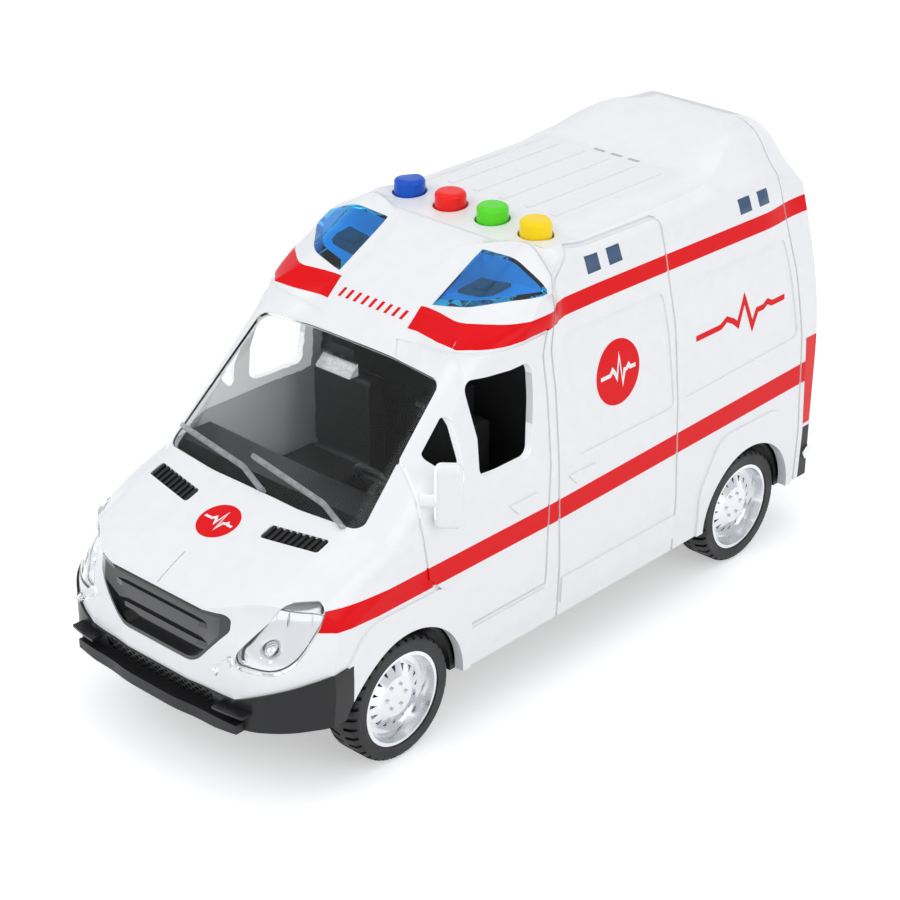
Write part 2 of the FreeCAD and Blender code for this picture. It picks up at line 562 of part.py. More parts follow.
# Panel lines: door, sliding door, upper panels, seams, hood crease and rear doors.
door_line = side_line("door_line", (setback("door_rear_setback - door_rear_lean"), "door_low_height"),
                      (setback("door_rear_setback"), "waist_height"),
                      (setback("door_rear_setback"), "screen_top_height + pillar_rise - screen_rise + overrun"),
                      (setback("pillar_setback + overrun"), "screen_top_height + door_top_rise"),
                      (setback("pillar_setback"), "cowl_height + pillar_rise"),
                      (setback("pillar_kink_setback"), "cowl_height + pillar_kink_rise"),
                      (setback("door_front_setback - line_width"), "waist_height"),
                      (setback("door_front_setback"), "waist_height - door_kink_drop"),
                      (setback("door_front_setback + overrun"), "waist_height - door_kink_drop - overrun"),
                      (setback("door_front_setback + 2 * overrun"), "door_low_height"))
slide_line = side_line("slide_line", *[
    (setback("seam_setback - line_width / 2"), "-overrun"), (setback("slide_rear_setback"), "-overrun"),
    (setback("slide_rear_setback"), "roof_height - upper_panel_drop", "panel_round"),
    (setback("seam_setback + 2 * overrun"), "roof_height - upper_panel_drop / 2", "panel_round"),
    (setback("seam_setback - line_width / 2"), "roof_height - seam_bend_drop")])
panel_front = "seam_setback + panel_edge_gap"
slide_panel = prism("slide_panel", SIDE_VIEW, [
    (setback(panel_front + " + panel_lean"), "panel_low_height", "panel_round"),
    (setback("slide_rear_setback - panel_edge_gap / 2"), "panel_low_height", "panel_round"),
    (setback("slide_rear_setback - panel_edge_gap"), "panel_high_height", "panel_round"),
    (setback(panel_front), "panel_high_height + line_width", "panel_round")])
quarter_panel = prism("quarter_panel", SIDE_VIEW, [
    (setback("slide_rear_setback + panel_edge_gap / 2"), "panel_low_height + line_width", "panel_round"),
    (setback("seam_rear_setback - panel_edge_gap / 2"), "panel_low_height + 3 * line_width", "panel_round"),
    (setback("seam_rear_setback - panel_edge_gap"), "panel_high_height - line_width", "panel_round"),
    (setback("slide_rear_setback + panel_edge_gap + panel_round"), "panel_high_height", "panel_round")])
rear_seam_line = block("rear_seam_line", WIDE, (seam_rear + " - line_width / 2", seam_rear + " + line_width / 2"), TALL)
front_seam_line = cut("front_seam_line", prism("seam_line_rear", SIDE_VIEW, seam_corners("line_width / 2", FRONT)),
                      prism("seam_line_front", SIDE_VIEW, seam_corners("(-line_width / 2)", FRONT + " - overrun")))
hood_line = block("hood_line", ("-line_width / 4", "line_width / 4"), (FRONT, setback("hood_setback")),
                  ("nose_height", "cowl_height"))
rear_face = (REAR + " - rear_face_depth", REAR + " + overrun")
door_top = "roof_height - rear_door_top_drop"


def rear_frame(name, half_width, low, high):
    """A line round a rectangle on the rear face."""
    return cut(name, block(name + "_outside", ("-%s" % half_width, half_width), rear_face, (low, high)),
               block(name + "_inside", ("-%s + line_width" % half_width, half_width + " - line_width"), rear_face,
                     (low + " + line_width", high + " - line_width")))


rear_lines = [rear_frame("rear_door_frame", "rear_door_half_width", "rear_bumper_top + line_width", door_top),
              block("rear_door_split", ("-line_width / 2", "line_width / 2"), rear_face, ("rear_bumper_top", door_top))]
rear_window_low = "waist_height + rear_window_rise"
rear_windows = both_sides("rear_windows", block(
    "rear_window", ("rear_window_place - rear_window_half_width", "rear_window_place + rear_window_half_width"),
    rear_face, (rear_window_low, rear_window_low + " + rear_window_height")))
lines = fused("lines", door_line, slide_line, slide_panel, quarter_panel, rear_seam_line, front_seam_line, hood_line,
              rear_windows, *rear_lines)
line_cut = common("line_cut", line_skin, lines)

# Raised forms: wheel arch flares, sill strips and handles.
flares = [prism(end + "_flare", SIDE_VIEW, [
    (axle + " + flare_half_length", "floor_height"),
    (axle + " + flare_half_length", "floor_height + flare_shoulder_rise", "flare_round"),
    (axle + " + flare_top_half_length", "floor_height + flare_rise", "flare_round"),
    (axle + " - flare_top_half_length", "floor_height + flare_rise", "flare_round"),
    (axle + " - flare_half_length", "floor_height + flare_shoulder_rise", "flare_round"),
    (axle + " - flare_half_length", "floor_height"),
]) for end, axle in (("front", front_axle), ("rear", rear_axle))]
strip_zone = ("floor_height + sill_strip_rise", "floor_height + sill_strip_rise + sill_strip_height")
strips = [block(name, WIDE, (setback(front), setback(rear)), strip_zone) for name, front, rear in (
    ("door_strip", "front_overhang + flare_half_length", "door_rear_setback - door_rear_lean - line_width"),
    ("slide_strip", "seam_setback + line_width", "slide_rear_setback - line_width"))]
handle_high = "waist_height - handle_drop + handle_height"
handles = [prism(name, SIDE_VIEW, [
    (setback(place + " + handle_height"), "waist_height - handle_drop"),
    (setback(place + " + handle_length"), "waist_height - handle_drop"),
    (setback(place + " + handle_length"), handle_high),
    (setback(place), handle_high)]) for name, place in (
        ("door_handle", "(seam_setback - handle_front_gap)"), ("slide_handle", "(seam_setback + panel_edge_gap)"))]
rear_handles = both_sides("rear_handles", block("rear_handle", (
    "rear_handle_place", "rear_handle_place + rear_handle_width"), rear_face,
    ("waist_height - rear_handle_height", "waist_height")))
raised = common("raised", proud_skin, fused("raised_forms", rear_handles, *flares, *strips, *handles))

front_piece = prism("front_piece", SIDE_VIEW, seam_corners("0", FRONT + " - overrun"))
rear_half = cut("rear_half", block("all_behind", WIDE, (FRONT + " - overrun", REAR + " + overrun"), TALL),
                prism("front_piece_wide", SIDE_VIEW, seam_corners("seam_gap", FRONT + " - 2 * overrun")))
middle_piece = common("middle_piece", rear_half, block("before_tail", WIDE, (FRONT, seam_rear), TALL))
tail_piece = block("tail_piece", WIDE, (seam_rear + " + seam_gap", REAR + " + overrun"), TALL)
walls = fused("walls", cut("lined_walls", hollow, line_cut), raised)
beacon_trays = common("beacon_trays", outer, beacon_tray_zone)


def grille_zone(name, gap, front, depth):
    """The outline of the grille as a prism that starts behind the nose and goes forward."""
    return prism(name, FRONT_VIEW, mirrored([
        ("grille_low_half_width", "bumper_top_height + grille_bottom_rise + %s" % gap, "grille_low_round"),
        ("grille_half_width - %s" % gap, "nose_height - grille_shoulder_drop", "grille_round"),
        ("grille_half_width - %s" % gap, "nose_height - grille_top_drop - %s" % gap, "grille_round"),
    ]), depth, FreeCAD.Vector(0, value(setback(front)), 0), False)


grille_opening = grille_zone("grille_opening", "0", "nose_setback + grille_depth + overrun",
                             "nose_setback + grille_depth + 2 * overrun")
LAMP_OUTLINE_SHARES = ((0, 0, "lamp_corner_round"), (0.79, 0, "lamp_low_round"), (1, 1, "lamp_corner_round"),
                       (0.44, 1, "lamp_high_round"), (0, 0.24, "lamp_high_round"))
lamp_turn = math.degrees(math.atan2(value("lamp_turn_rise"), value("lamp_turn_run")))
lamp_view = FreeCAD.Rotation(FreeCAD.Vector(0, 0, 1), lamp_turn).multiply(FRONT_VIEW)
lamp_forward = lamp_view.multVec(FreeCAD.Vector(0, 0, 1))
lamp_across = lamp_view.multVec(FreeCAD.Vector(1, 0, 0))
lamp_base = FreeCAD.Vector(0, value(FRONT), 0)


def lamp_spot(across, up, forward):
    """A point given in the turned view of the headlamp."""
    spot = lamp_base + lamp_across * value(across) + lamp_forward * value(forward)
    return spot + FreeCAD.Vector(0, 0, value(up))


def lamp_zone(name, gap, reach="lamp_reach"):
    """The outline of the left headlamp as a prism square to its face."""
    corners = [("lamp_inner + %s + (lamp_width - 2 * %s) * %s" % (gap, gap, across),
                "lamp_low_height + %s + (lamp_height - 2 * %s) * %s" % (gap, gap, up), radius)
               for across, up, radius in LAMP_OUTLINE_SHARES]
    return prism(name, lamp_view, corners, reach, lamp_base + lamp_forward * value("lamp_back_gap"), False)


lamp_openings = both_sides("lamp_openings", lamp_zone("lamp_opening", "0"))
marker_spot = ("marker_half_width", setback("nose_setback + marker_length"), "nose_height - marker_drop")
marker_holes = both_sides("marker_holes", rod("marker_hole", "marker_radius + seat_gap", "marker_length + overrun",
                                              marker_spot, FRONT_VIEW))


def vent_zone(name, gap):
    """The outline of the left air vent in the hood."""
    front = "cowl_setback - vent_front_gap + %s" % gap
    rear = "cowl_setback - vent_front_gap + vent_length - %s" % gap
    return prism(name, TOP_VIEW, [
        ("vent_inner + %s" % gap, setback(front), "vent_round"),
        ("vent_outer - %s" % gap, setback(front + " + vent_shift"), "vent_round"),
        ("vent_outer - %s" % gap, setback(rear + " + vent_shift"), "vent_round"),
        ("vent_inner + %s" % gap, setback(rear), "vent_round")],
        "screen_rise", FreeCAD.Vector(0, 0, value("nose_height")), False)


vent_openings = both_sides("vent_openings", vent_zone("vent_opening", "0"))
front_walls = fused("front_walls", common("front_shell", walls, front_piece), beacon_trays)
node("cab_shell", cut("cab_shell", front_walls, beacon_zone, arches, front_bumper_zone, screen_opening, door_windows,
                      quarter_windows, grille_opening, lamp_openings, vent_openings, marker_holes))
tail_shell = cut("tail_shell", common("tail_hollow", walls, tail_piece), rear_bumper_zone, tail_lamp_zone)
node("tail_shell", tail_shell)

# Front bumper with its lip, air intake with a mesh and fog lamp blades.
lip_ring = doc.addObject("Part::Offset2D", "lip_ring")
lip_ring.Source = plan_sketch
lip_ring.Join = 2
lip_ring.setExpression("Value", bound("nose_setback"))
lip_section = doc.addObject("Part::Offset2D", "lip_section_ring")
lip_section.Source = section_sketch
lip_section.Join = 2
lip_section.setExpression("Value", bound("bumper_proud"))
lip = common("lip", extruded("lip_prism", lip_ring), extruded("lip_section", lip_section),
             block("lip_reach", ("-lip_half_width", "lip_half_width"), (FRONT, setback("bumper_end_setback")),
                   ("floor_height + lip_bottom_rise", "floor_height + lip_rise")))
blades = both_sides("blades", common("blade", extruded("blade_prism", lip_ring, "2 * height"), block(
    "blade_reach", ("blade_inner", "blade_outer"), (FRONT, setback("cheek_setback")),
    ("floor_height + blade_rise", "floor_height + blade_rise + blade_height"))))
sweep = prism("bumper_sweep", FRONT_VIEW, [
    ("bumper_flat_half_width", "floor_height"), ("belly_half_width + overrun", "floor_height + bumper_sweep"),
    ("belly_half_width + overrun", "-overrun"), ("bumper_flat_half_width", "-overrun")])
intake_low = "floor_height + intake_rise"
intake = prism("intake", FRONT_VIEW, rectangle("-intake_half_width", "intake_half_width", intake_low,
                                               intake_low + " + intake_height", "intake_round"),
               "cheek_setback", FreeCAD.Vector(0, value(setback("cheek_setback")), 0), False)
intake_skin = cut("intake_skin", proud, envelope("intake_inside", "intake_depth - bumper_proud"))
MESH_BARS = int(value("2 * intake_half_width / mesh_pitch"))
mesh_bars = []
for number in range(MESH_BARS):
    left = "(-intake_half_width + mesh_pitch * %d)" % number
    for way, shift in (("rising", "intake_height"), ("falling", "-intake_height")):
        low_left = left if way == "rising" else left + " + intake_height"
        mesh_bars.append(prism("mesh_%s_%d" % (way, number), FRONT_VIEW, [
            (low_left, intake_low), (low_left + " + mesh_width", intake_low),
            ("%s + mesh_width + %s" % (low_left, shift), intake_low + " + intake_height"),
            ("%s + %s" % (low_left, shift), intake_low + " + intake_height")],
            "cheek_setback", FreeCAD.Vector(0, value(setback("cheek_setback")), 0), False))
mesh = cut("mesh_openings", intake, fused("mesh_bars", *mesh_bars))
bumper_face = cut("bumper_face", common("bumper_block", proud, front_bumper_zone), common("mesh_cells", intake_skin, mesh))
bumper_solid = fused("bumper_solid", bumper_face, lip, blades)
node("front_bumper", cut("front_bumper", bumper_solid, bumper_inside, wheel_arches("wide_arch_", "well_wall + seat_gap"),
                         both_sides("sweeps", sweep), block("bumper_back", WIDE, (setback("bumper_end_setback"), REAR), TALL)))
reflector_spot = ("belly_half_width - reflector_depth", REAR + " - reflector_rear_gap", "floor_height + reflector_rise")
reflector_length = "reflector_depth + reflector_proud"
reflector_holes = both_sides("reflector_holes", rod("reflector_hole", "reflector_radius + seat_gap", "overrun",
                                                    reflector_spot, wheel_x))
node("rear_bumper", common("rear_bumper", cut("rear_bumper_skin", outer, inner, arches, reflector_holes), rear_bumper_zone))
node("rear_reflectors", both_sides("rear_reflectors", rod("rear_reflector", "reflector_radius", reflector_length,
                                                          reflector_spot, wheel_x)))
node("beacon_lenses", common("beacon_lenses", clear_skin, beacon_zone))
node("tail_lamps", common("tail_lamps", hollow, tail_lamp_zone))

# Windshield with two wipers and the inside mirror's foot.


def wiper(name, tip, way):
    """A blade and its arm as a raised band on the windshield, running from the tip to the way's side."""
    elbow = "(%s + %s * wiper_length)" % (tip, way)
    foot = "(%s + %s * wiper_arm_length)" % (elbow, way)
    low, high = "wiper_low_rise", "wiper_end_rise"
    corners = [(tip, high), (elbow, low), (foot, "wiper_low_rise - wiper_arm_drop"),
               (foot + " + %s * wiper_width" % way, "wiper_low_rise - wiper_arm_drop + wiper_width"),
               (elbow + " + %s * wiper_width / 2" % way, low + " + wiper_width"), (tip, high + " + wiper_width")]
    return prism(name, screen_view, corners, SCREEN_DEPTH, screen_base)


wipers = common("wipers", cut("wiper_skin", proud, clear_inside), fused(
    "wiper_bands", wiper("right_wiper", "(wiper_right - wiper_length)", "1"),
    wiper("left_wiper", "(wiper_left - wiper_length + wiper_width)", "1")))
mirror_rear = "screen_top_setback - inside_mirror_top_drop"
mirror_top = "screen_top_height - inside_mirror_gap"
inside_mirror = common("inside_mirror", outer, block(
    "inside_mirror_block", ("-inside_mirror_half_width", "inside_mirror_half_width"),
    (setback(mirror_rear + " - inside_mirror_length"), setback(mirror_rear)),
    (mirror_top + " - inside_mirror_drop", mirror_top)))
node("windshield", fused("windshield", common("screen_pane_bent", clear_skin, screen_zone("screen_pane", "seat_gap")),
                         wipers, inside_mirror))

# Headlamps: a clear cover over a bright bowl with a bulb.
node("headlamps", common("headlamps", clear_skin, both_sides("lamp_panes", lamp_zone("lamp_pane", "seat_gap"))))
bulb_up = "lamp_low_height + bulb_rise"
lamp_block = common("lamp_block", liner, lamp_zone("lamp_fill", "2 * seat_gap"))
BOWL_FRONT = "lamp_turn_rise"
bowl = doc.addObject("Part::Cone", "bowl")
bowl.setExpression("Radius1", bound("bulb_radius"))
bowl.setExpression("Radius2", bound("bowl_radius"))
bowl.setExpression("Height", bound("bowl_depth"))
bowl.Placement = FreeCAD.Placement(lamp_spot("bulb_place", bulb_up, BOWL_FRONT + " - bowl_depth"), lamp_view)
bulb = doc.addObject("Part::Sphere", "bulb")
bulb.setExpression("Radius", bound("bulb_radius"))
bulb.Placement.Base = lamp_spot("bulb_place", bulb_up, BOWL_FRONT + " - bowl_depth + bulb_radius / 2")
node("lamp_bowls", both_sides("lamp_bowls", fused("lamp_bowl", cut("lamp_dish", lamp_block, bowl), bulb)))
marker = rod("marker", "marker_radius", "marker_length + marker_rise", marker_spot, FRONT_VIEW)
node("marker_lamps", both_sides("marker_lamps", marker))

# Air vents: a plate set into the hood with ribs up to its surface.
vent_plate = common("vent_plate", cut("vent_plate_skin", line_inside, inner), vent_zone("vent_fill", "seat_gap"))
VENT_RIBS = int(value("(vent_outer - vent_inner) / vent_rib_pitch"))
vent_bars = []
for number in range(VENT_RIBS):
    left = "(vent_inner + vent_rib_pitch * (%d + 0.5) - vent_rib_width / 2)" % number
    vent_bars.append(block("vent_bar%d" % number, (left, left + " + vent_rib_width"),
                           (FRONT, setback("cowl_setback")), ("nose_height", "screen_top_height")))
vent_ribs = common("vent_ribs", cut("vent_rib_skin", outer, inner), vent_zone("vent_rib_zone", "seat_gap"),
                   fused("vent_bars", *vent_bars))
node("hood_vents", both_sides("hood_vents", fused("hood_vent", vent_plate, vent_ribs)))

# A board with a lamp in each roof light
board_x = "beacon_inner_half_width + beacon_board_gap"
board_rear = "seam_setback - beacon_rear_gap - beacon_board_gap"
board_low = "beacon_low_height"
board = block("beacon_board", (board_x, board_x + " + beacon_board_width"),
              (setback(board_rear + " - beacon_board_length"), setback(board_rear)),
              (board_low, board_low + " + beacon_board_thickness"))
led_x = board_x + " + beacon_board_width / 2"
led_y = board_rear + " - beacon_board_length / 2"
led = block("beacon_led", (led_x + " - beacon_led_size / 2", led_x + " + beacon_led_size / 2"),
            (setback(led_y + " - beacon_led_size / 2"), setback(led_y + " + beacon_led_size / 2")),
            (board_low, board_low + " + beacon_board_thickness + beacon_led_height"))
node("beacon_boards", both_sides("beacon_boards", common("beacon_board_inside", liner, fused("beacon_board_led", board, led))))


def shell_slice(name, front_place, rear_place, low, high):
    """A flat board across the inside of the shell."""
    return common(name, liner, block(name + "_slab", WIDE, (front_place, rear_place), (low, high)))


# Grille: a frame with two slats, set into the nose.
GRILLE_REACH = "nose_setback + grille_depth"
grille_block = common("grille_block", outer, grille_zone("grille_fill", "seat_gap", GRILLE_REACH, GRILLE_REACH))
grille_cavity = grille_zone("grille_cavity", "grille_frame", GRILLE_REACH + " - grille_frame", GRILLE_REACH)
slats = []
SLATS = 2
for number in range(1, SLATS + 1):
    grille_low = "(bumper_top_height + grille_bottom_rise)"
    middle = "(%s + (nose_height - grille_top_drop - %s) * %d / %d)" % (grille_low, grille_low, number, SLATS + 1)
    slats.append(block("slat%d" % number, ("-grille_half_width", "grille_half_width"),
                       (FRONT, setback(GRILLE_REACH)),
                       (middle + " - slat_thickness / 2", middle + " + slat_thickness / 2")))
slat_stack = common("slat_stack", clear_inside, grille_zone("slat_zone", "seat_gap", GRILLE_REACH, GRILLE_REACH),
                    fused("slats", *slats))
node("grille", fused("grille", cut("grille_frame_ring", grille_block, grille_cavity), slat_stack))


def attach(body, sketch, role, height="0"):
    """Put a sketch on one of the body's own planes, or at a height above it."""
    plane = [item for item in body.Origin.OriginFeatures if item.Role == role][0]
    sketch.AttachmentSupport = [(plane, "")]
    sketch.MapMode = "FlatFace"
    sketch.setExpression("AttachmentOffset.Base.z", bound(height))


def wheel(name, corners):
    """A body turned about the X axis, drawn with the outer face towards +X."""
    body = doc.addObject("PartDesign::Body", name)
    sketch = body.newObject("Sketcher::SketchObject", name + "_profile")
    attach(body, sketch, "XZ_Plane")
    add_loop(sketch, corners)
    turned = body.newObject("PartDesign::Revolution", name + "_turned")
    turned.Profile = sketch
    turned.ReferenceAxis = (sketch, ["H_Axis"])
    body.Tip = turned
    return body


def all_round(body, name, features, count):
    """Repeat features of the body about its X axis."""
    ring = body.newObject("PartDesign::PolarPattern", name)
    ring.Originals = features
    ring.Axis = (body.Origin.OriginFeatures[0], [""])
    ring.Occurrences = count
    body.Tip = ring


TREAD_GROOVES = 36
VENT_HOLES = 16
STUDS = 6
LIP = "(tyre_outer_face - rim_recess)"
BARREL = "(%s - rim_barrel_depth)" % LIP
FACE = "(%s - rim_depth)" % LIP
PLATE = "(%s + dish_rise)" % FACE
tyre_body = wheel("tyre", [
    ("tyre_outer_face - tyre_width", "rim_radius + seat_gap"),
    ("tyre_outer_face", "rim_radius + seat_gap"),
    ("tyre_outer_face", "wheel_radius", "tyre_shoulder"),
    ("tyre_outer_face - tyre_width", "wheel_radius", "tyre_shoulder"),
])
hub_body = wheel("hub", [
    (PLATE + " - hub_wall", "0"),
    (PLATE, "0"),
    (PLATE, "hub_cap_radius"),
    (FACE, "dish_radius"),
    (FACE, "rim_step"),
    (LIP, "rim_radius - rim_lip"),
    (LIP, "rim_radius"),
    (BARREL, "rim_radius"),
    (BARREL, "rim_radius - hub_wall"),
    (FACE + " - hub_wall", "rim_step - hub_wall / 2"),
    (FACE + " - hub_wall", "dish_radius - hub_wall / 2"),
    (PLATE + " - hub_wall", "hub_cap_radius - hub_wall / 2"),
    (PLATE + " - hub_wall", "hub_boss_radius"),
    (BARREL, "hub_boss_radius"),
    (BARREL, "axle_radius + seat_gap"),
    (PLATE + " - hub_wall", "axle_radius + seat_gap"),
])

# Tread: slanted grooves over the outer and the inner half of the tyre, half a pitch apart.
TREAD_HALVES = (("outer_groove", "tyre_outer_face - tread_groove_reach", "tyre_outer_face + overrun", 1),
                ("inner_groove", "tyre_outer_face - tyre_width - overrun",
                 "tyre_outer_face - tyre_width + tread_groove_reach", -1))
grooves = []
for name, near, far, way in TREAD_HALVES:
    sketch = tyre_body.newObject("Sketcher::SketchObject", name + "_outline")
    attach(tyre_body, sketch, "XY_Plane", "wheel_radius - tread_depth")
    lean = "tread_slant * (%s - (%s))" % (far, near)
    inside, outside = ("0", lean) if way > 0 else (lean, "0")
    add_loop(sketch, [(near, "-tread_groove_width / 2 + " + inside), (far, "-tread_groove_width / 2 + " + outside),
                      (far, "tread_groove_width / 2 + " + outside), (near, "tread_groove_width / 2 + " + inside)])
    groove = tyre_body.newObject("PartDesign::Pocket", name)
    groove.Profile = sketch
    groove.Reversed = True
    groove.setExpression("Length", bound("overrun"))
    grooves.append(groove)
all_round(tyre_body, "tread", grooves, TREAD_GROOVES)

# Wheel face: a ring of tapered holes and raised studs.
hole_sketch = hub_body.newObject("Sketcher::SketchObject", "hole_outline")
attach(hub_body, hole_sketch, "YZ_Plane")
add_loop(hole_sketch, [("vent_hole_place", "0"), ("vent_hole_place + vent_hole_length", "-vent_hole_width / 2"),
                       ("vent_hole_place + vent_hole_length", "vent_hole_width / 2")])
hole = hub_body.newObject("PartDesign::Pocket", "wheel_hole")
hole.Profile = hole_sketch
hole.SideType = "Symmetric"
hole.Type = "ThroughAll"
all_round(hub_body, "wheel_holes", [hole], VENT_HOLES)
stud_sketch = hub_body.newObject("Sketcher::SketchObject", "stud_outline")
attach(hub_body, stud_sketch, "YZ_Plane", PLATE + " - hub_wall / 2")
add_loop(stud_sketch, rectangle("stud_place - stud_radius", "stud_place + stud_radius", "-stud_radius", "stud_radius",
                                "stud_radius / 2"))
stud = hub_body.newObject("PartDesign::Pad", "stud")
stud.Profile = stud_sketch
stud.setExpression("Length", bound("hub_wall / 2 + stud_height"))
all_round(hub_body, "studs", [stud], STUDS)

half_axle = "(%s - hub_wall - seat_gap)" % PLATE
AXLES = (("front", front_axle), ("rear", rear_axle))
for end, axle in AXLES:
    spot = ("-" + half_axle, axle, "wheel_radius")
    node(end + "_axle", rod(end + "_axle", "axle_radius", "2 * " + half_axle, spot, wheel_x))
    for side, angle in (("left", 0), ("right", math.degrees(math.pi))):
        for kind, body in (("tyre", tyre_body), ("hub", hub_body)):
            placed = doc.addObject("Part::Compound", "%s_%s_%s" % (end, side, kind))
            placed.Links = [body]
            placed.Placement.Rotation = FreeCAD.Rotation(FreeCAD.Vector(0, 0, 1), angle)
            placed.setExpression("Placement.Base.y", bound(axle))
            placed.setExpression("Placement.Base.z", bound("wheel_radius"))
            node(placed.Name, placed)

# Chassis: a floor plate with four wheel wells and two bearings on each axle.
plate = block("plate", ("-chassis_half_width", "chassis_half_width"),
              (setback("bumper_end_setback + seat_gap"), REAR + " - rear_bumper_length - seat_gap"),
              ("chassis_bottom", "chassis_bottom + chassis_thickness"))
wells, bores, slots, bearings = [], [], [], []
for end, axle in AXLES:
    outer_spot = ("arch_inner_half_width - well_wall", axle, "wheel_radius")
    well_length = "chassis_half_width - arch_inner_half_width + well_wall"
    wells.append(rod(end + "_well_outside", "arch_radius - seat_gap", well_length, outer_spot, wheel_x))
    wells.append(block(end + "_well_skirt", (outer_spot[0], "chassis_half_width"),
                       (axle + " - arch_radius + seat_gap", axle + " + arch_radius - seat_gap"),
                       ("chassis_bottom", "wheel_radius")))
    bores.append(rod(end + "_well_inside", "arch_radius - seat_gap - well_wall", "sill_half_width",
                     ("arch_inner_half_width", axle, "wheel_radius"), wheel_x))
    bores.append(block(end + "_well_gap", ("arch_inner_half_width", "sill_half_width"),
                       (axle + " - arch_radius + seat_gap + well_wall", axle + " + arch_radius - seat_gap - well_wall"),
                       ("-overrun", "wheel_radius")))
    slots.append(block(end + "_slot", ("0", "arch_inner_half_width"),
                       (axle + " - axle_radius - axle_end_gap", axle + " + axle_radius + axle_end_gap"),
                       ("-overrun", "wheel_radius + axle_radius + axle_end_gap")))
    bearings.append(block(end + "_bearing", ("bearing_half_span", "bearing_half_span + bearing_width"),
                          (axle + " - bearing_half_length", axle + " + bearing_half_length"),
                          ("bearing_bottom", "wheel_radius + axle_radius + axle_end_gap")))
well_shapes = cut("well_shapes", fused("well_blocks", *wells),
                  block("below_chassis", WIDE, (FRONT, REAR), ("-height", "chassis_bottom")))
bearing_holes = [rod(end + "_bearing_hole", "axle_radius + axle_play", "arch_inner_half_width",
                     ("0", axle, "wheel_radius"), wheel_x) for end, axle in AXLES]
open_plate = cut("open_plate", fused("plate_with_wells", plate, both_sides("wells", well_shapes)),
                 both_sides("well_openings", fused("well_inside", *bores)),
                 both_sides("axle_slots", fused("axle_slot", *slots)))
hatch_y = (setback("front_overhang + hatch_run"), setback("front_overhang + hatch_run + hatch_length"))
hatch_recess = block("hatch_recess", ("-hatch_width / 2", "hatch_width / 2"), hatch_y,
                     ("-overrun", "chassis_bottom + hatch_thickness + seat_gap"))
screw_recesses = both_sides("screw_recesses", fused("screw_recess_row", *[
    rod("screw_recess%d" % number, "screw_recess_radius", "screw_recess_depth + overrun",
        ("screw_half_width", place, "chassis_bottom - overrun")) for number, place in enumerate((
            setback("bumper_end_setback + screw_end_gap"), setback("front_overhang + arch_radius + screw_end_gap"),
            setback("front_overhang + wheelbase - arch_radius - screw_end_gap"),
            REAR + " - rear_bumper_length - screw_end_gap"))]))
node("chassis", cut("chassis", fused("chassis_body", open_plate, both_sides("bearings", fused("bearing", *bearings))),
                    both_sides("bearing_holes", fused("bearing_hole_pair", *bearing_holes)), hatch_recess,
                    screw_recesses))
node("battery_cover", block("battery_cover", ("-hatch_width / 2 + seat_gap", "hatch_width / 2 - seat_gap"),
                            (hatch_y[0] + " + seat_gap", hatch_y[1] + " - seat_gap"),
                            ("chassis_bottom", "chassis_bottom + hatch_thickness")))

# Cab inside
node("cab_floor", shell_slice("cab_floor", setback("firewall_setback"), setback("bulkhead_setback - seat_gap"),
                              "cab_floor_height", "cab_floor_top"))
node("bulkhead", shell_slice("bulkhead", setback("bulkhead_setback"), setback("bulkhead_setback + bulkhead_thickness"),
                             "cab_floor_height", "brow_height - bulkhead_drop"))
node("dashboard", common("dashboard", liner, prism("dash_bar", SIDE_VIEW, [
    (setback("dash_front_setback"), "dash_low"),
    (setback("dash_rear_setback - dash_lip"), "dash_low", "seat_round"),
    (setback("dash_rear_setback"), "dash_height - dash_lip", "seat_round"),
    (setback("dash_rear_setback"), "dash_height", "seat_round"),
    (setback("dash_front_setback"), "dash_height"),
], "2 * dash_half_width")))
seat_left = FreeCAD.Vector(value("seat_offset - seat_half_width"), 0, 0)
cushion = prism("seat_cushion", SIDE_VIEW, [
    (setback("seat_front_setback"), "cab_floor_top"),
    (setback("seat_rear_setback"), "cab_floor_top"),
    (setback("seat_rear_setback"), "back_top", "seat_round"),
    (setback("seat_rear_setback - back_thickness"), "back_top", "seat_round"),
    (setback("seat_rear_setback - back_thickness"), "seat_height", "seat_round"),
    (setback("seat_front_setback"), "seat_height", "seat_round"),
], "2 * seat_half_width", seat_left, False)
headrest = block("headrest", ("seat_offset - head_width / 2", "seat_offset + head_width / 2"),
                 (setback("seat_rear_setback - back_thickness"), setback("seat_rear_setback")),
                 ("back_top - seat_round", "back_top + head_height"))
node("seats", both_sides("seats", fused("seat", cushion, headrest)))
steering_spot = FreeCAD.Vector(value("seat_offset"), value(setback("dash_rear_setback + steering_gap")),
                               value("dash_height - steering_drop"))
quarter_turn = math.degrees(math.pi / 2)
tilt = FreeCAD.Rotation(FreeCAD.Vector(1, 0, 0), value("steering_tilt") - quarter_turn)
column_tilt = FreeCAD.Rotation(FreeCAD.Vector(1, 0, 0), value("steering_tilt") + quarter_turn)
steering_ring = doc.addObject("Part::Torus", "steering_ring")
steering_ring.setExpression("Radius1", bound("steering_radius"))
steering_ring.setExpression("Radius2", bound("steering_tube"))
steering_ring.Placement = FreeCAD.Placement(steering_spot, tilt)
column = doc.addObject("Part::Cylinder", "steering_column")
column.setExpression("Radius", bound("steering_column_radius"))
column.setExpression("Height", bound("steering_column_length"))
column.Placement = FreeCAD.Placement(steering_spot, column_tilt)
spoke = doc.addObject("Part::Box", "steering_spoke")
spoke.setExpression("Length", bound("2 * steering_radius"))
spoke.setExpression("Width", bound("2 * steering_column_radius"))
spoke.setExpression("Height", bound("steering_tube"))
spoke_corner = FreeCAD.Vector(value("-steering_radius"), value("-steering_column_radius"), value("-steering_tube / 2"))
spoke.Placement = FreeCAD.Placement(steering_spot, tilt).multiply(FreeCAD.Placement(spoke_corner, TOP_VIEW))
node("steering_wheel", fused("steering_wheel", steering_ring, column, spoke))

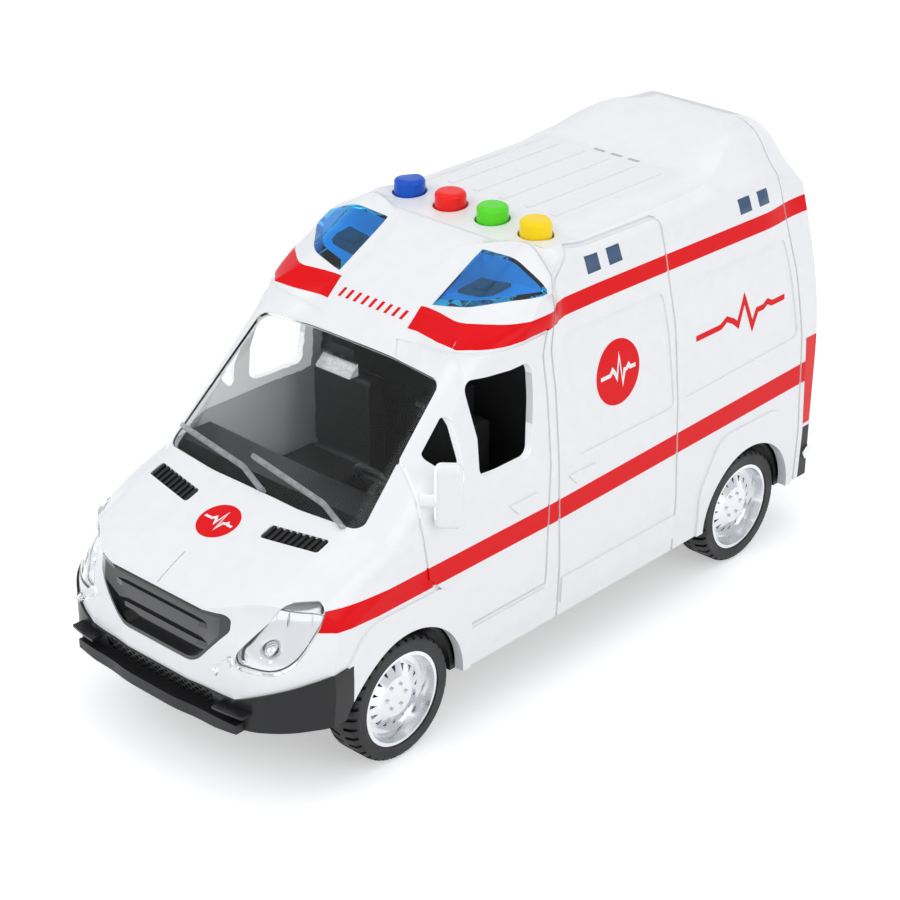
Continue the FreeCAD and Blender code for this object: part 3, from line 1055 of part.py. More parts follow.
# Outside mirrors
mirror_block = block("mirror_block", ("mirror_inner", "mirror_outer"),
                     (setback("mirror_setback"), setback("mirror_setback + mirror_length")),
                     ("mirror_low", "mirror_low + mirror_height"))
doc.recompute()
mirror_body = doc.addObject("Part::Fillet", "mirror_rounded")
mirror_body.Base = mirror_block
mirror_edges = range(1, len(mirror_block.Shape.Edges) + 1)
mirror_body.Edges = [(number, value("mirror_round"), value("mirror_round")) for number in mirror_edges]
stalk = rod("mirror_stalk", "mirror_stalk_radius",
            "mirror_inner + mirror_round - waist_half_width + mirror_stalk_reach",
            ("waist_half_width - mirror_stalk_reach", setback("mirror_setback + mirror_length / 2"),
             "mirror_low + mirror_stalk_rise"), wheel_x)
node("mirrors", both_sides("mirrors", cut("mirror", fused("mirror_on_stalk", mirror_body, stalk), outer)))

# Roof: push buttons in their holes, ribs and sound slots.
BUTTONS = (("blue", -1.5), ("red", -0.5), ("green", 0.5), ("yellow", 1.5))
roof_cuts = []
for colour, place in BUTTONS:
    x, y = "(button_pitch * %s)" % place, setback("button_setback")
    base = "(roof_height - shell_wall - button_flange_drop - button_flange_thickness)"
    roof_cuts.append(rod(colour + "_hole", "button_hole_radius", "3 * shell_wall + overrun",
                         (x, y, "roof_height - 3 * shell_wall")))
    cap = rod(colour + "_cap", "button_radius", "roof_height + button_rise - " + base, (x, y, base))
    doc.recompute()
    top = doc.addObject("Part::Fillet", colour + "_rounded")
    top.Base = cap
    crown = max(cap.Shape.Edges, key=lambda edge: edge.BoundBox.ZMin)
    index = [edge.isSame(crown) for edge in cap.Shape.Edges].index(True) + 1
    top.Edges = [(index, value("button_round"), value("button_round"))]
    flange = rod(colour + "_flange", "button_flange_radius", "button_flange_thickness", (x, y, base))
    node("button_" + colour, fused("button_" + colour, top, flange))
ribs = [block("rib%d" % number, ("rib_pitch * %d - rib_width / 2" % number, "rib_pitch * %d + rib_width / 2" % number),
              (setback("seam_setback + rib_start_run"), setback("hump_setback - rib_end_gap")),
              ("roof_height - shell_wall / 2", "roof_height + rib_rise")) for number in (-2, -1, 0, 1, 2)]
pane_zones = []
for group, first in enumerate((setback("seam_setback + pane_first_run"), seam_rear + " - pane_rear_gap")):
    for number in (0, 1):
        left = "%s + pane_pitch * %d" % (first, number)
        high = "(roof_height - pane_high_drop - pane_drop * %d)" % group
        low = high + " - pane_height"
        pane_zones.append(prism("pane_%d_%d" % (group, number), SIDE_VIEW, [
            (left + " + pane_lean", low), (left + " + pane_lean + pane_width", low),
            (left + " + pane_width", high), (left, high)]))
panes = fused("pane_zone", *pane_zones)
for number in (-1, 0, 1):
    roof_cuts.append(block("sound_slot%d" % (number + 1), (
        "slot_pitch * %d - slot_width / 2" % number, "slot_pitch * %d + slot_width / 2" % number),
        (setback("hump_setback - slot_gap"), setback("hump_setback - slot_gap + slot_length")),
        ("roof_height - 2 * shell_wall", "height + overrun")))
plain_box = cut("plain_box", common("middle_shell", walls, middle_piece), arches, panes, *roof_cuts)
node("box_shell", fused("box_shell", plain_box, *ribs))
node("side_panes", common("side_panes", clear_skin, panes))

doc.recompute()
os.makedirs("parts", exist_ok=True)
for item in doc.Objects:
    if "Invalid" in item.State or "Error" in item.State:
        raise RuntimeError("%s failed: %s" % (item.Name, item.State))
for name, item in nodes.items():
    if item.Shape.isNull() or not item.Shape.isValid():
        raise RuntimeError("%s has no valid shape" % name)
for name, item in nodes.items():
    shape = item.Shape
    print(name, len(shape.Solids), len(shape.Faces), round(shape.Volume), shape.BoundBox)
    shape.exportStep("parts/%s.step" % name)
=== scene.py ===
import json
import math

import bmesh
import bpy
from mathutils import Matrix, Vector
from mathutils.bvhtree import BVHTree


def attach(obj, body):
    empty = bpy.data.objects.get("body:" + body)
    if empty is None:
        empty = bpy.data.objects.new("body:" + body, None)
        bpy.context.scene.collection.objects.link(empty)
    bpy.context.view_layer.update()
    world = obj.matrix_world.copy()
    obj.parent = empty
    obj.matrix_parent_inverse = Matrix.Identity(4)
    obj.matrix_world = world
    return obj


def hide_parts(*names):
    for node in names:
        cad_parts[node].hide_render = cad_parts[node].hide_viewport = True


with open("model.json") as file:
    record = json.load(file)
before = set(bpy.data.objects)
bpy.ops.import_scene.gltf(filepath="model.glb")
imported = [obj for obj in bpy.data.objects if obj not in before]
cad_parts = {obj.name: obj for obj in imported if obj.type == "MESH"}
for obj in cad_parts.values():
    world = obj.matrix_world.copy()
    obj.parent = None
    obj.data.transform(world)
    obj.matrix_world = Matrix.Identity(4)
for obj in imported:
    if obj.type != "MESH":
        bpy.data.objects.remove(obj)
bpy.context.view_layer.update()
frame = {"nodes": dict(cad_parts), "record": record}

scene = bpy.context.scene
MM = 0.001
HALF = 103.7  # half the length in mm: a setback from the front end minus this is y
AXLES = {"front": 43.0 - HALF, "rear": 173.0 - HALF}
WHEEL_RADIUS = 15.6


def place(x, setback, z):
    """A point in metres from across, rearwards from the front end, and up, in mm."""
    return Vector((x, setback - HALF, z)) * MM


# Materials

class Nodes:
    """Short calls for building one material's node tree."""

    def __init__(self, name):
        self.material = bpy.data.materials.new(name)
        self.material.use_nodes = True
        self.tree = self.material.node_tree
        self.tree.nodes.clear()
        self.output = self.tree.nodes.new("ShaderNodeOutputMaterial")
        self.coordinates = self.tree.nodes.new("ShaderNodeTexCoord").outputs["Object"]

    def new(self, kind, **inputs):
        made = self.tree.nodes.new(kind)
        for key, item in inputs.items():
            self.put(made.inputs[key.replace("_", " ")], item)
        return made

    def put(self, socket, item):
        if isinstance(item, bpy.types.NodeSocket):
            self.tree.links.new(item, socket)
        else:
            socket.default_value = item

    def math(self, operation, *items):
        made = self.tree.nodes.new("ShaderNodeMath")
        made.operation = operation
        for socket, item in zip(made.inputs, items):
            self.put(socket, item)
        return made.outputs[0]

    def axes(self):
        return self.new("ShaderNodeSeparateXYZ", Vector=self.coordinates).outputs

    def noise(self, scale, detail=2.0):
        made = self.new("ShaderNodeTexNoise", Vector=self.coordinates, Scale=scale, Detail=detail)
        return made.outputs["Fac"]

    def ranged(self, fac, low, high, from_low=0.0, from_high=1.0):
        made = self.new("ShaderNodeMapRange", Value=fac)
        for key, item in (("From Min", from_low), ("From Max", from_high), ("To Min", low), ("To Max", high)):
            self.put(made.inputs[key], item)
        return made.outputs[0]

    def mix(self, fac, a, b):
        made = self.tree.nodes.new("ShaderNodeMix")
        made.data_type = "RGBA"
        self.put(made.inputs["Factor"], fac)
        self.put(made.inputs["A"], a)
        self.put(made.inputs["B"], b)
        return made.outputs["Result"]

    def bump(self, height, strength, distance, normal=None):
        made = self.new("ShaderNodeBump", Height=height, Strength=strength, Distance=distance)
        if normal is not None:
            self.put(made.inputs["Normal"], normal)
        return made.outputs[0]

    def principled(self, color, rough, **inputs):
        made = self.tree.nodes.new("ShaderNodeBsdfPrincipled")
        self.put(made.inputs["Base Color"], color)
        self.put(made.inputs["Roughness"], rough)
        for key, item in inputs.items():
            self.put(made.inputs[key.replace("_", " ")], item)
        return made.outputs[0]

    def finish(self, shader):
        self.tree.links.new(shader, self.output.inputs["Surface"])
        return self.material


def rgb(red, green, blue):
    return (red, green, blue, 1.0)


def moulded(nodes, color, rough, grain=0.05, peel=0.10, **inputs):
    """Injection-moulded plastic: a faint unevenness of colour, roughness and surface."""
    spots = nodes.noise(260.0, 3.0)
    roughness = nodes.ranged(nodes.noise(90.0, 4.0), rough * 0.85, rough * 1.15, 0.3, 0.7)
    tone = nodes.new("ShaderNodeHueSaturation", Color=color, Value=nodes.ranged(spots, 0.985, 1.01, 0.3, 0.7))
    wavy = nodes.bump(nodes.noise(140.0, 2.0), peel, 0.0002)
    fine = nodes.bump(nodes.noise(3500.0, 2.0), grain, 0.00003, wavy)
    return nodes.principled(tone.outputs[0], roughness, Normal=fine, **inputs)


WHITE = rgb(0.86, 0.865, 0.875)
RED = rgb(0.78, 0.004, 0.008)
CLEAR = (0.97, 0.98, 0.985)
SHEEN = 0.5  # the reflection of plain plastic
INK_SHEEN = 0.12  # and of printed ink
PAINTED_GLOW = 0.3  # painted light: the strength of an emitted glow on the inside of the cab, in place of daylight through its white walls
PLASTIC_IOR = 1.47
SCREEN_IOR = 1.2  # lower, so that the windshield hides less of the cab

# The printed stripes, in mm: each edge of the lower one has a height and its rise towards the back
# and towards the front, per mm past where the rise begins
RISE_BACK_FROM, RISE_FRONT_FROM = 93.0, 34.0
LOWER_STRIPE = ((42.1, 0.0235, 0.067), (47.4, 0.028, 0.017))
UPPER_STRIPE, UPPER_FALL_FROM, UPPER_FALL = (91.4, 95.5), 116.0, 0.0146
GLOW_HEIGHTS, GLOW_SETBACKS = (60.0, 96.0), (40.0, 90.0)  # where the painted glow lies on the inside of the cab, in mm

# The windshield's lower edge and its wipers, in mm: each wiper is a blade up to its elbow, then an arm
SETBACK_OF_SCREEN, HEIGHT_OF_SCREEN = 34.5, 58.6
SCREEN_SLOPE = math.atan2(28.5, 32.3)
CAP_SLOPE = 13.0 / 24.8
WIPER_TIPS = (-31.8, -5.9)
BLADE_LENGTH, ARM_LENGTH, WIPER_WIDTH = 25.0, 8.5, 1.3
TIP_RISE, ELBOW_RISE, WIPER_FALL = 7.0, 3.8, 3.2


def band(nodes, z, low, high):
    """1 where z lies between low and high."""
    above = nodes.math("GREATER_THAN", z, low)
    below = nodes.math("LESS_THAN", z, high)
    return nodes.math("MULTIPLY", above, below)


def white_material():
    """White body plastic with the two printed red stripes, and a painted glow of light on the inside of the
    cab.
    """
    nodes = Nodes("white_plastic")
    x, y, z = nodes.axes()
    x = nodes.math("MULTIPLY", nodes.math("ABSOLUTE", x), 1000.0)
    s = nodes.math("ADD", nodes.math("MULTIPLY", y, 1000.0), HALF)
    z = nodes.math("MULTIPLY", z, 1000.0)
    back = nodes.math("MAXIMUM", nodes.math("SUBTRACT", s, RISE_BACK_FROM), 0.0)
    front = nodes.math("MAXIMUM", nodes.math("SUBTRACT", RISE_FRONT_FROM, s), 0.0)
    low, high = (nodes.math("ADD", nodes.math("MULTIPLY_ADD", back, rise_back, height),
                            nodes.math("MULTIPLY", front, rise_front))
                 for height, rise_back, rise_front in LOWER_STRIPE)
    start = nodes.math("MULTIPLY_ADD", nodes.math("SUBTRACT", z, 41.3), 0.66, 13.9)
    lower = nodes.math("MULTIPLY", band(nodes, z, low, high), nodes.math("GREATER_THAN", s, start))
    lower = nodes.math("MULTIPLY", lower, nodes.math("GREATER_THAN", x, 30.0))
    past = nodes.math("MAXIMUM", nodes.math("SUBTRACT", s, UPPER_FALL_FROM), 0.0)
    raised = nodes.math("MULTIPLY_ADD", past, UPPER_FALL, z)
    upper = nodes.math("MULTIPLY", band(nodes, raised, *UPPER_STRIPE), nodes.math("GREATER_THAN", x, 13.0))
    upper = nodes.math("MULTIPLY", upper, nodes.math("GREATER_THAN", s, 50.0))
    outside = nodes.math("GREATER_THAN", outward(nodes), 0.0)
    mask = nodes.math("MULTIPLY", nodes.math("MAXIMUM", lower, upper), outside)
    # Painted light: the inside faces of the cab glow by emission, in place of light coming through the walls
    inside = nodes.math("MULTIPLY", nodes.math("SUBTRACT", 1.0, outside), band(nodes, z, *GLOW_HEIGHTS))
    inside = nodes.math("MULTIPLY", inside, band(nodes, s, *GLOW_SETBACKS))
    painted_glow = nodes.math("MULTIPLY", inside, PAINTED_GLOW)
    return nodes.finish(moulded(nodes, nodes.mix(mask, WHITE, RED), 0.2, Emission_Color=WHITE,
                                Emission_Strength=painted_glow,
                                Specular_IOR_Level=nodes.ranged(mask, SHEEN, INK_SHEEN)))


def outward(nodes):
    """Above zero where the surface faces away from the object's middle line."""
    normal = nodes.tree.nodes.new("ShaderNodeNewGeometry").outputs["True Normal"]
    middle = nodes.new("ShaderNodeCombineXYZ", Y=nodes.axes()[1], Z=0.07)
    away = nodes.new("ShaderNodeVectorMath")
    away.operation = "SUBTRACT"
    nodes.put(away.inputs[0], nodes.coordinates)
    nodes.put(away.inputs[1], middle.outputs[0])
    dot = nodes.new("ShaderNodeVectorMath")
    dot.operation = "DOT_PRODUCT"
    nodes.put(dot.inputs[0], away.outputs[0])
    nodes.put(dot.inputs[1], normal)
    return dot.outputs["Value"]


def plain_material(name, color, rough, **inputs):
    nodes = Nodes(name)
    return nodes.finish(moulded(nodes, rgb(*color), rough, **inputs))


def clear_material(name, color, rough):
    nodes = Nodes(name)
    return nodes.finish(clear(nodes, color, rough))


def clear(nodes, color, rough, ior=PLASTIC_IOR):
    """Clear plastic that lets lamps through, with faint moulding waves."""
    waves = nodes.bump(nodes.noise(60.0, 2.0), 0.06, 0.0002)
    roughness = nodes.ranged(nodes.noise(300.0, 3.0), rough * 0.6, rough * 1.4, 0.3, 0.7)
    glass = nodes.principled(rgb(*color), roughness, IOR=ior, Normal=waves, Transmission_Weight=1.0)
    through = nodes.new("ShaderNodeBsdfTransparent", Color=rgb(*color))
    path = nodes.tree.nodes.new("ShaderNodeLightPath").outputs["Is Shadow Ray"]
    mixed = nodes.new("ShaderNodeMixShader", Fac=path)
    nodes.put(mixed.inputs[1], glass)
    nodes.put(mixed.inputs[2], through.outputs[0])
    return mixed.outputs[0]


def windshield_material():
    """Clear plastic; the moulded wipers and the inside mirror's foot look frosted grey."""
    nodes = Nodes("windshield_plastic")
    across = nodes.math("MULTIPLY", nodes.axes()[0], 1000.0)
    along = beside_screen(nodes, math.cos(SCREEN_SLOPE), math.sin(SCREEN_SLOPE))
    below = beside_screen(nodes, -math.sin(SCREEN_SLOPE), math.cos(SCREEN_SLOPE))
    mask = None
    for tip in WIPER_TIPS:
        elbow = tip + BLADE_LENGTH
        blade = nodes.math("MULTIPLY_ADD", nodes.math("SUBTRACT", across, tip),
                           -WIPER_FALL / BLADE_LENGTH, TIP_RISE)
        arm = nodes.math("MULTIPLY_ADD", nodes.math("SUBTRACT", across, elbow),
                         -WIPER_FALL / ARM_LENGTH, ELBOW_RISE)
        past = nodes.math("SUBTRACT", along, nodes.math("MINIMUM", blade, arm))
        wiper = nodes.math("MULTIPLY", band(nodes, past, -0.1, WIPER_WIDTH),
                           band(nodes, across, tip, elbow + ARM_LENGTH + 1.0))
        mask = wiper if mask is None else nodes.math("MAXIMUM", mask, wiper)
    foot = nodes.math("MULTIPLY", band(nodes, across, -5.6, 5.6), nodes.math("GREATER_THAN", along, 33.0))
    foot = nodes.math("MULTIPLY", foot, nodes.math("LESS_THAN", below, -1.6))
    mask = nodes.math("MAXIMUM", mask, foot)
    streaks = nodes.noise(700.0, 3.0)
    frosted = nodes.principled(nodes.mix(streaks, rgb(0.22, 0.23, 0.24), rgb(0.75, 0.77, 0.78)), 0.18,
                               Transmission_Weight=0.55, IOR=PLASTIC_IOR)
    both = nodes.new("ShaderNodeMixShader", Fac=mask)
    nodes.put(both.inputs[1], clear(nodes, CLEAR, 0.02, ior=SCREEN_IOR))
    nodes.put(both.inputs[2], frosted)
    return nodes.finish(both.outputs[0])


def beside_screen(nodes, rearward, upward):
    """How far a point lies from the windshield's lower edge in one direction, in mm."""
    _, y, z = nodes.axes()
    run = nodes.math("MULTIPLY_ADD", y, 1000.0 * rearward, (HALF - SETBACK_OF_SCREEN) * rearward)
    rise = nodes.math("MULTIPLY_ADD", z, 1000.0 * upward, -HEIGHT_OF_SCREEN * upward)
    return nodes.math("ADD", run, rise)


def radius_from_axle(nodes, end):
    """The distance from the axle's line, in mm."""
    _, y, z = nodes.axes()
    across = nodes.math("SUBTRACT", nodes.math("MULTIPLY", y, 1000.0), AXLES[end])
    up = nodes.math("SUBTRACT", nodes.math("MULTIPLY", z, 1000.0), WHEEL_RADIUS)
    square = nodes.math("ADD", nodes.math("POWER", nodes.math("ABSOLUTE", across), 2.0),
                        nodes.math("POWER", nodes.math("ABSOLUTE", up), 2.0))
    return nodes.math("SQRT", square)


def tyre_material(end):
    """Black rubber with fine rings on the sidewall."""
    nodes = Nodes("tyre_rubber_" + end)
    radius = radius_from_axle(nodes, end)
    rings = nodes.math("SINE", nodes.math("MULTIPLY", radius, 9.0))
    wall = nodes.math("LESS_THAN", radius, 14.4)
    ridged = nodes.bump(nodes.math("MULTIPLY", rings, wall), 0.25, 0.00008)
    grain = nodes.bump(nodes.noise(2600.0, 3.0), 0.25, 0.00005, ridged)
    tone = nodes.mix(nodes.noise(180.0, 4.0), rgb(0.010, 0.010, 0.011), rgb(0.020, 0.020, 0.021))
    rough = nodes.ranged(nodes.noise(120.0, 3.0), 0.48, 0.66, 0.3, 0.7)
    return nodes.finish(nodes.principled(tone, rough, Normal=grain))


def chrome_material(name, color, rough):
    """Vacuum-plated plastic: bright metal over a slightly uneven moulding."""
    nodes = Nodes(name)
    uneven = nodes.bump(nodes.noise(220.0, 3.0), 0.16, 0.0002)
    fine = nodes.bump(nodes.noise(2400.0, 2.0), 0.06, 0.00003, uneven)
    roughness = nodes.ranged(nodes.noise(150.0, 3.0), rough * 0.8, rough * 1.3, 0.3, 0.7)
    tone = nodes.mix(nodes.noise(90.0, 2.0), rgb(*[c * 0.96 for c in color]), rgb(*color))
    return nodes.finish(nodes.principled(tone, roughness, Metallic=1.0, Normal=fine))


MATERIALS = {
    "white_plastic": white_material(),
    "black_gloss_plastic": plain_material("black_gloss_plastic", (0.010, 0.010, 0.011), 0.12, grain=0.02,
                                          Coat_Weight=0.5, Coat_Roughness=0.04),
    "black_plastic": plain_material("black_plastic", (0.014, 0.014, 0.015), 0.34, grain=0.0,
                                    Specular_IOR_Level=0.3),
    "clear_plastic": clear_material("clear_plastic", CLEAR, 0.02),
    "blue_clear_plastic": clear_material("blue_clear_plastic", (0.02, 0.52, 0.94), 0.04),
    "red_clear_plastic": plain_material("red_clear_plastic", (0.80, 0.022, 0.02), 0.1, grain=0.02,
                                        Specular_IOR_Level=0.2),
    "smoked_plastic": plain_material("smoked_plastic", (0.012, 0.060, 0.155), 0.10, grain=0.02,
                                     Coat_Weight=0.5, Coat_Roughness=0.04),
    "chromed_plastic": chrome_material("chromed_plastic", (0.80, 0.81, 0.83), 0.16),
    "axle_steel": chrome_material("axle_steel", (0.55, 0.55, 0.56), 0.3),
    "board": plain_material("board", (0.02, 0.10, 0.085), 0.45),
    "blue_plastic": plain_material("blue_plastic", (0.004, 0.09, 0.56), 0.2, Specular_IOR_Level=0.25),
    "red_plastic": plain_material("red_plastic", (0.92, 0.014, 0.010), 0.2, Specular_IOR_Level=0.25),
    "green_plastic": plain_material("green_plastic", (0.10, 0.72, 0.02), 0.2, Specular_IOR_Level=0.25),
    "yellow_plastic": plain_material("yellow_plastic", (0.99, 0.70, 0.004), 0.2, Specular_IOR_Level=0.25),
}
WINDSHIELD = windshield_material()
TYRES = {end: tyre_material(end) for end in AXLES}


def give(piece, material):
    if not piece.material_slots:
        piece.data.materials.append(material)
    for slot in piece.material_slots:
        slot.material = material


def material_for(node, slot_name):
    if slot_name == "tyre_rubber":
        return TYRES[node.split("_")[0]]
    return WINDSHIELD if node == "windshield" else MATERIALS[slot_name]


# The body's outline

CUT = 4.0  # the body is cut into cells of this size before it is reshaped
TOP = 113.0  # nothing is raised above the top of the CAD body
MIDDLE = 104.0  # the front half and the rear half are reshaped by their own terms
KEPT = "cad_normal"
LENS = (26.0, 85.5)  # the roof lamps grow from here, across and along the cap
GROWTH = 0.17
SCREEN_SWELL, CROWN_SWELL, CROWN_SPREAD = 1.25, 3.2, 1.8
CHEEK_REACH, CHEEK_SPREAD, SHOULDER_SET, LIP_SET, NOSE_LIFT = 4.0, 1.0, 2.6, 1.2, 2.7
EDGE_DROP, HUMP_RISE, HUMP_FALL, TAIL_EDGE_DROP = 1.7, 1.8, 1.2, 1.6
CORNER_DROP, CORNER_SET, CORNER_TUCK = 1.6, 4.0, 1.6
MIRROR_TURN, MIRROR_SET, MIRROR_PIVOT = 40.0, 3.6, 41.6


def eased(value, low, high):
    """0 up to low, 1 from high, and a smooth rise between them."""
    part = min(max((value - low) / (high - low), 0.0), 1.0)
    return part * part * (3.0 - 2.0 * part)


def faded(value, low, high):
    return 1.0 - eased(value, low, high)


def front_shift(wide, s, z):
    """How far the nose, windshield and cap move sideways, rearward and upward."""
    screen = SCREEN_SWELL * eased(wide, 10, 32) * faded(s, 66, 76) * eased(z, 46, 54)
    cap = eased(s, 64, 74) * faded(s, 94, 104) * eased(z, 80, 92)
    crown = CROWN_SWELL * eased(wide, 14, 33) * cap
    cheek = faded(z, 32, 46) * faded(s, 18, 34)
    shoulder = eased(z, 38, 46) * faded(z, 50, 58) * faded(s, 16, 30)
    lens = faded(math.hypot(wide - LENS[0], s - LENS[1]), 11, 17.5) * eased(z, 84, 92) * GROWTH
    sideways = CROWN_SPREAD * eased(wide, 26, 36) * cap + CHEEK_SPREAD * eased(wide, 28, 38) * cheek
    sideways += (wide - LENS[0]) * lens
    rearward = SHOULDER_SET * eased(wide, 18, 32) * shoulder - 0.6 * screen - 0.3 * crown
    rearward += LIP_SET * faded(s, 2, 10) * faded(z, 20, 27) - CHEEK_REACH * eased(wide, 12, 31) * cheek
    rearward += (s - LENS[1]) * lens
    upward = 0.8 * screen + 0.85 * crown + NOSE_LIFT * faded(z, 14, 28) * faded(s, 22, 34)
    upward += CAP_SLOPE * (s - LENS[1]) * lens
    return sideways, rearward, upward


def rear_shift(wide, s, z):
    """How far the roof's edges, the hump and the tail's corners move."""
    roof = eased(s, 104, 116) * faded(s, 158, 168) * eased(z, 96, 100)
    hump = eased(s, 164, 176) * eased(z, 92, 104) * faded(wide, 16, 30)
    corner = eased(s, 182, 203) * eased(wide, 14, 32)
    upward = (HUMP_RISE - HUMP_FALL * eased(s, 184, 196)) * hump
    upward -= EDGE_DROP * eased(wide, 20, 26) * faded(wide, 30, 34) * roof
    upward -= TAIL_EDGE_DROP * eased(s, 160, 172) * eased(wide, 22, 30) * eased(z, 98, 104)
    upward -= CORNER_DROP * corner * eased(z, 88, 104)
    return -CORNER_TUCK * corner * eased(z, 60, 100), -CORNER_SET * corner * eased(z, 52, 98), upward


def reshaped(point):
    """Where a point of the plain body lies on the fuller, rounder body of the photograph."""
    x, s, z = point.x / MM, point.y / MM + HALF, point.z / MM
    shift = front_shift if s < MIDDLE else rear_shift
    sideways, rearward, upward = shift(abs(x), s, z)
    side = 1.0 if x > 0 else -1.0
    return place(x + side * sideways, s + rearward, min(z + upward, TOP))


def cut_across(mesh, axis, offset):
    """Cut the faces of a mesh along the plane at this offset on an axis."""
    point, normal = Vector(), Vector()
    point[axis], normal[axis] = offset, 1.0
    everything = mesh.verts[:] + mesh.edges[:] + mesh.faces[:]
    bmesh.ops.bisect_plane(mesh, geom=everything, plane_co=point, plane_no=normal)


def cut_finely(mesh, size):
    """Cut a mesh along planes this far apart on all three axes."""
    for axis in range(3):
        places = [vertex.co[axis] / (size * MM) for vertex in mesh.verts]
        for cut in range(math.ceil(min(places)), math.floor(max(places)) + 1):
            cut_across(mesh, axis, cut * size * MM)


def bend(mesh):
    """Move a mesh onto the reshaped body, and turn the kept normals with it."""
    layer = mesh.loops.layers.float_vector[KEPT]
    probe = 0.2 * MM
    axes = [Vector((probe, 0, 0)), Vector((0, probe, 0)), Vector((0, 0, probe))]
    for vertex in mesh.verts:
        start = vertex.co.copy()
        moved = reshaped(start)
        stretch = Matrix([(reshaped(start + axis) - moved) / probe for axis in axes])
        if stretch.determinant() > 0.2:
            turn(vertex, layer, stretch.inverted())
        vertex.co = moved


def turn(vertex, layer, rotation):
    for loop in vertex.link_loops:
        loop[layer] = (rotation @ loop[layer]).normalized()


def standing_for(node, mesh, material):
    """Show this mesh in place of a CAD piece of the body. Returns its data."""
    data = bpy.data.meshes.new(node + "_shown")
    mesh.to_mesh(data)
    mesh.free()
    data.materials.append(material)
    data.shade_smooth()
    kept = data.attributes[KEPT]
    normals = [corner.vector.copy() for corner in kept.data]
    data.attributes.remove(kept)
    data.normals_split_custom_set(normals)
    piece = bpy.data.objects.new(node + "_shown", data)
    scene.collection.objects.link(piece)
    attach(piece, "van_body")
    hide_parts(node)
    return data


def solid_mesh(node):
    """A copy of a CAD piece to work on, with the CAD surface's normals kept in its corners."""
    data = frame["nodes"][node].data.copy()
    kept = data.attributes.new(KEPT, "FLOAT_VECTOR", "CORNER")
    for corner, normal in zip(kept.data, data.corner_normals):
        corner.vector = normal.vector
    mesh = bmesh.new()
    mesh.from_mesh(data)
    bpy.data.meshes.remove(data)
    bmesh.ops.remove_doubles(mesh, verts=mesh.verts, dist=0.002 * MM)
    for face in mesh.faces:
        face.material_index = 0
    return mesh


def keep_left_mirror(mesh):
    """Only the left mirror, turned in along the front pillar."""
    bmesh.ops.delete(mesh, geom=[vertex for vertex in mesh.verts if vertex.co.x < 0], context="VERTS")
    middle = sum((vertex.co for vertex in mesh.verts), Vector()) / len(mesh.verts)
    pivot = Vector((MIRROR_PIVOT * MM, middle.y, 0.0))
    rotation = Matrix.Rotation(math.radians(MIRROR_TURN), 3, "Z")
    layer = mesh.loops.layers.float_vector[KEPT]
    for vertex in mesh.verts:
        turn(vertex, layer, rotation)
        vertex.co = rotation @ (vertex.co - pivot) + pivot + Vector((0, MIRROR_SET * MM, 0))


SHOWN = {}
for part in frame["record"]["subparts"]:
    node = part["node"]
    slot_name = part["material_slot"]
    material = material_for(node, slot_name)
    if node.split("_")[-1] in ("tyre", "hub", "axle"):
        give(frame["nodes"][node], material)
        continue
    body_mesh = solid_mesh(node)
    if node == "mirrors":
        keep_left_mirror(body_mesh)
    else:
        cut_finely(body_mesh, CUT)
        bend(body_mesh)
    SHOWN[node] = standing_for(node, body_mesh, material)

# Printed marks

PRINT = plain_material("printed_red", RED[:3], 0.24, Specular_IOR_Level=INK_SHEEN)
PRINT_WHITE = plain_material("printed_white", WHITE[:3], 0.24)
PRINT_STEP = 1.0  # prints are cut into cells of this size, in mm, to follow the surface
LIFT, OVER_PRINT = 0.05, 0.1  # how far a print, and a print on a print, stands off the surface, in mm
SEARCH_FROM, SEARCH_LENGTH = 0.03, 0.08  # metres in front of a print's plane, and how far back
SIDEWAYS, REARWARDS, UPWARDS = Vector((1, 0, 0)), Vector((0, 1, 0)), Vector((0, 0, 1))


def surface(*names):
    """A search tree over some pieces of the body."""
    corners, faces = [], []
    for name in names:
        mesh = SHOWN[name]
        start = len(corners)
        corners += [vertex.co.copy() for vertex in mesh.vertices]
        faces += [[start + index for index in face.vertices] for face in mesh.polygons]
    return BVHTree.FromPolygons(corners, faces)


def printed(name, outlines, centre, across, up, material, lift=LIFT):
    """Flat outlines in mm, laid on the part of the body that lies behind their plane."""
    across, up = across.normalized(), up.normalized()
    facing = across.cross(up).normalized()
    mesh = bmesh.new()
    for outline in outlines:
        spots = [mesh.verts.new((u * MM, v * MM, 0.0)) for u, v in outline]
        face = mesh.faces.new(spots)
        bmesh.ops.triangulate(mesh, faces=[face])
    low = [min(vertex.co[axis] for vertex in mesh.verts) for axis in (0, 1)]
    high = [max(vertex.co[axis] for vertex in mesh.verts) for axis in (0, 1)]
    for axis in (0, 1):
        for cut in range(1, math.ceil((high[axis] - low[axis]) / (PRINT_STEP * MM))):
            cut_across(mesh, axis, low[axis] + cut * PRINT_STEP * MM)
    for vertex in mesh.verts:
        start = centre + across * vertex.co.x + up * vertex.co.y + facing * SEARCH_FROM
        hit, _, _, _ = BODY.ray_cast(start, -facing, SEARCH_LENGTH)
        if hit is None:
            raise RuntimeError("%s leaves the surface" % name)
        vertex.co = hit + facing * lift * MM
    data = bpy.data.meshes.new(name)
    mesh.to_mesh(data)
    mesh.free()
    data.shade_smooth()
    piece = bpy.data.objects.new(name, data)
    scene.collection.objects.link(piece)
    data.materials.append(material)
    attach(piece, "van_body")


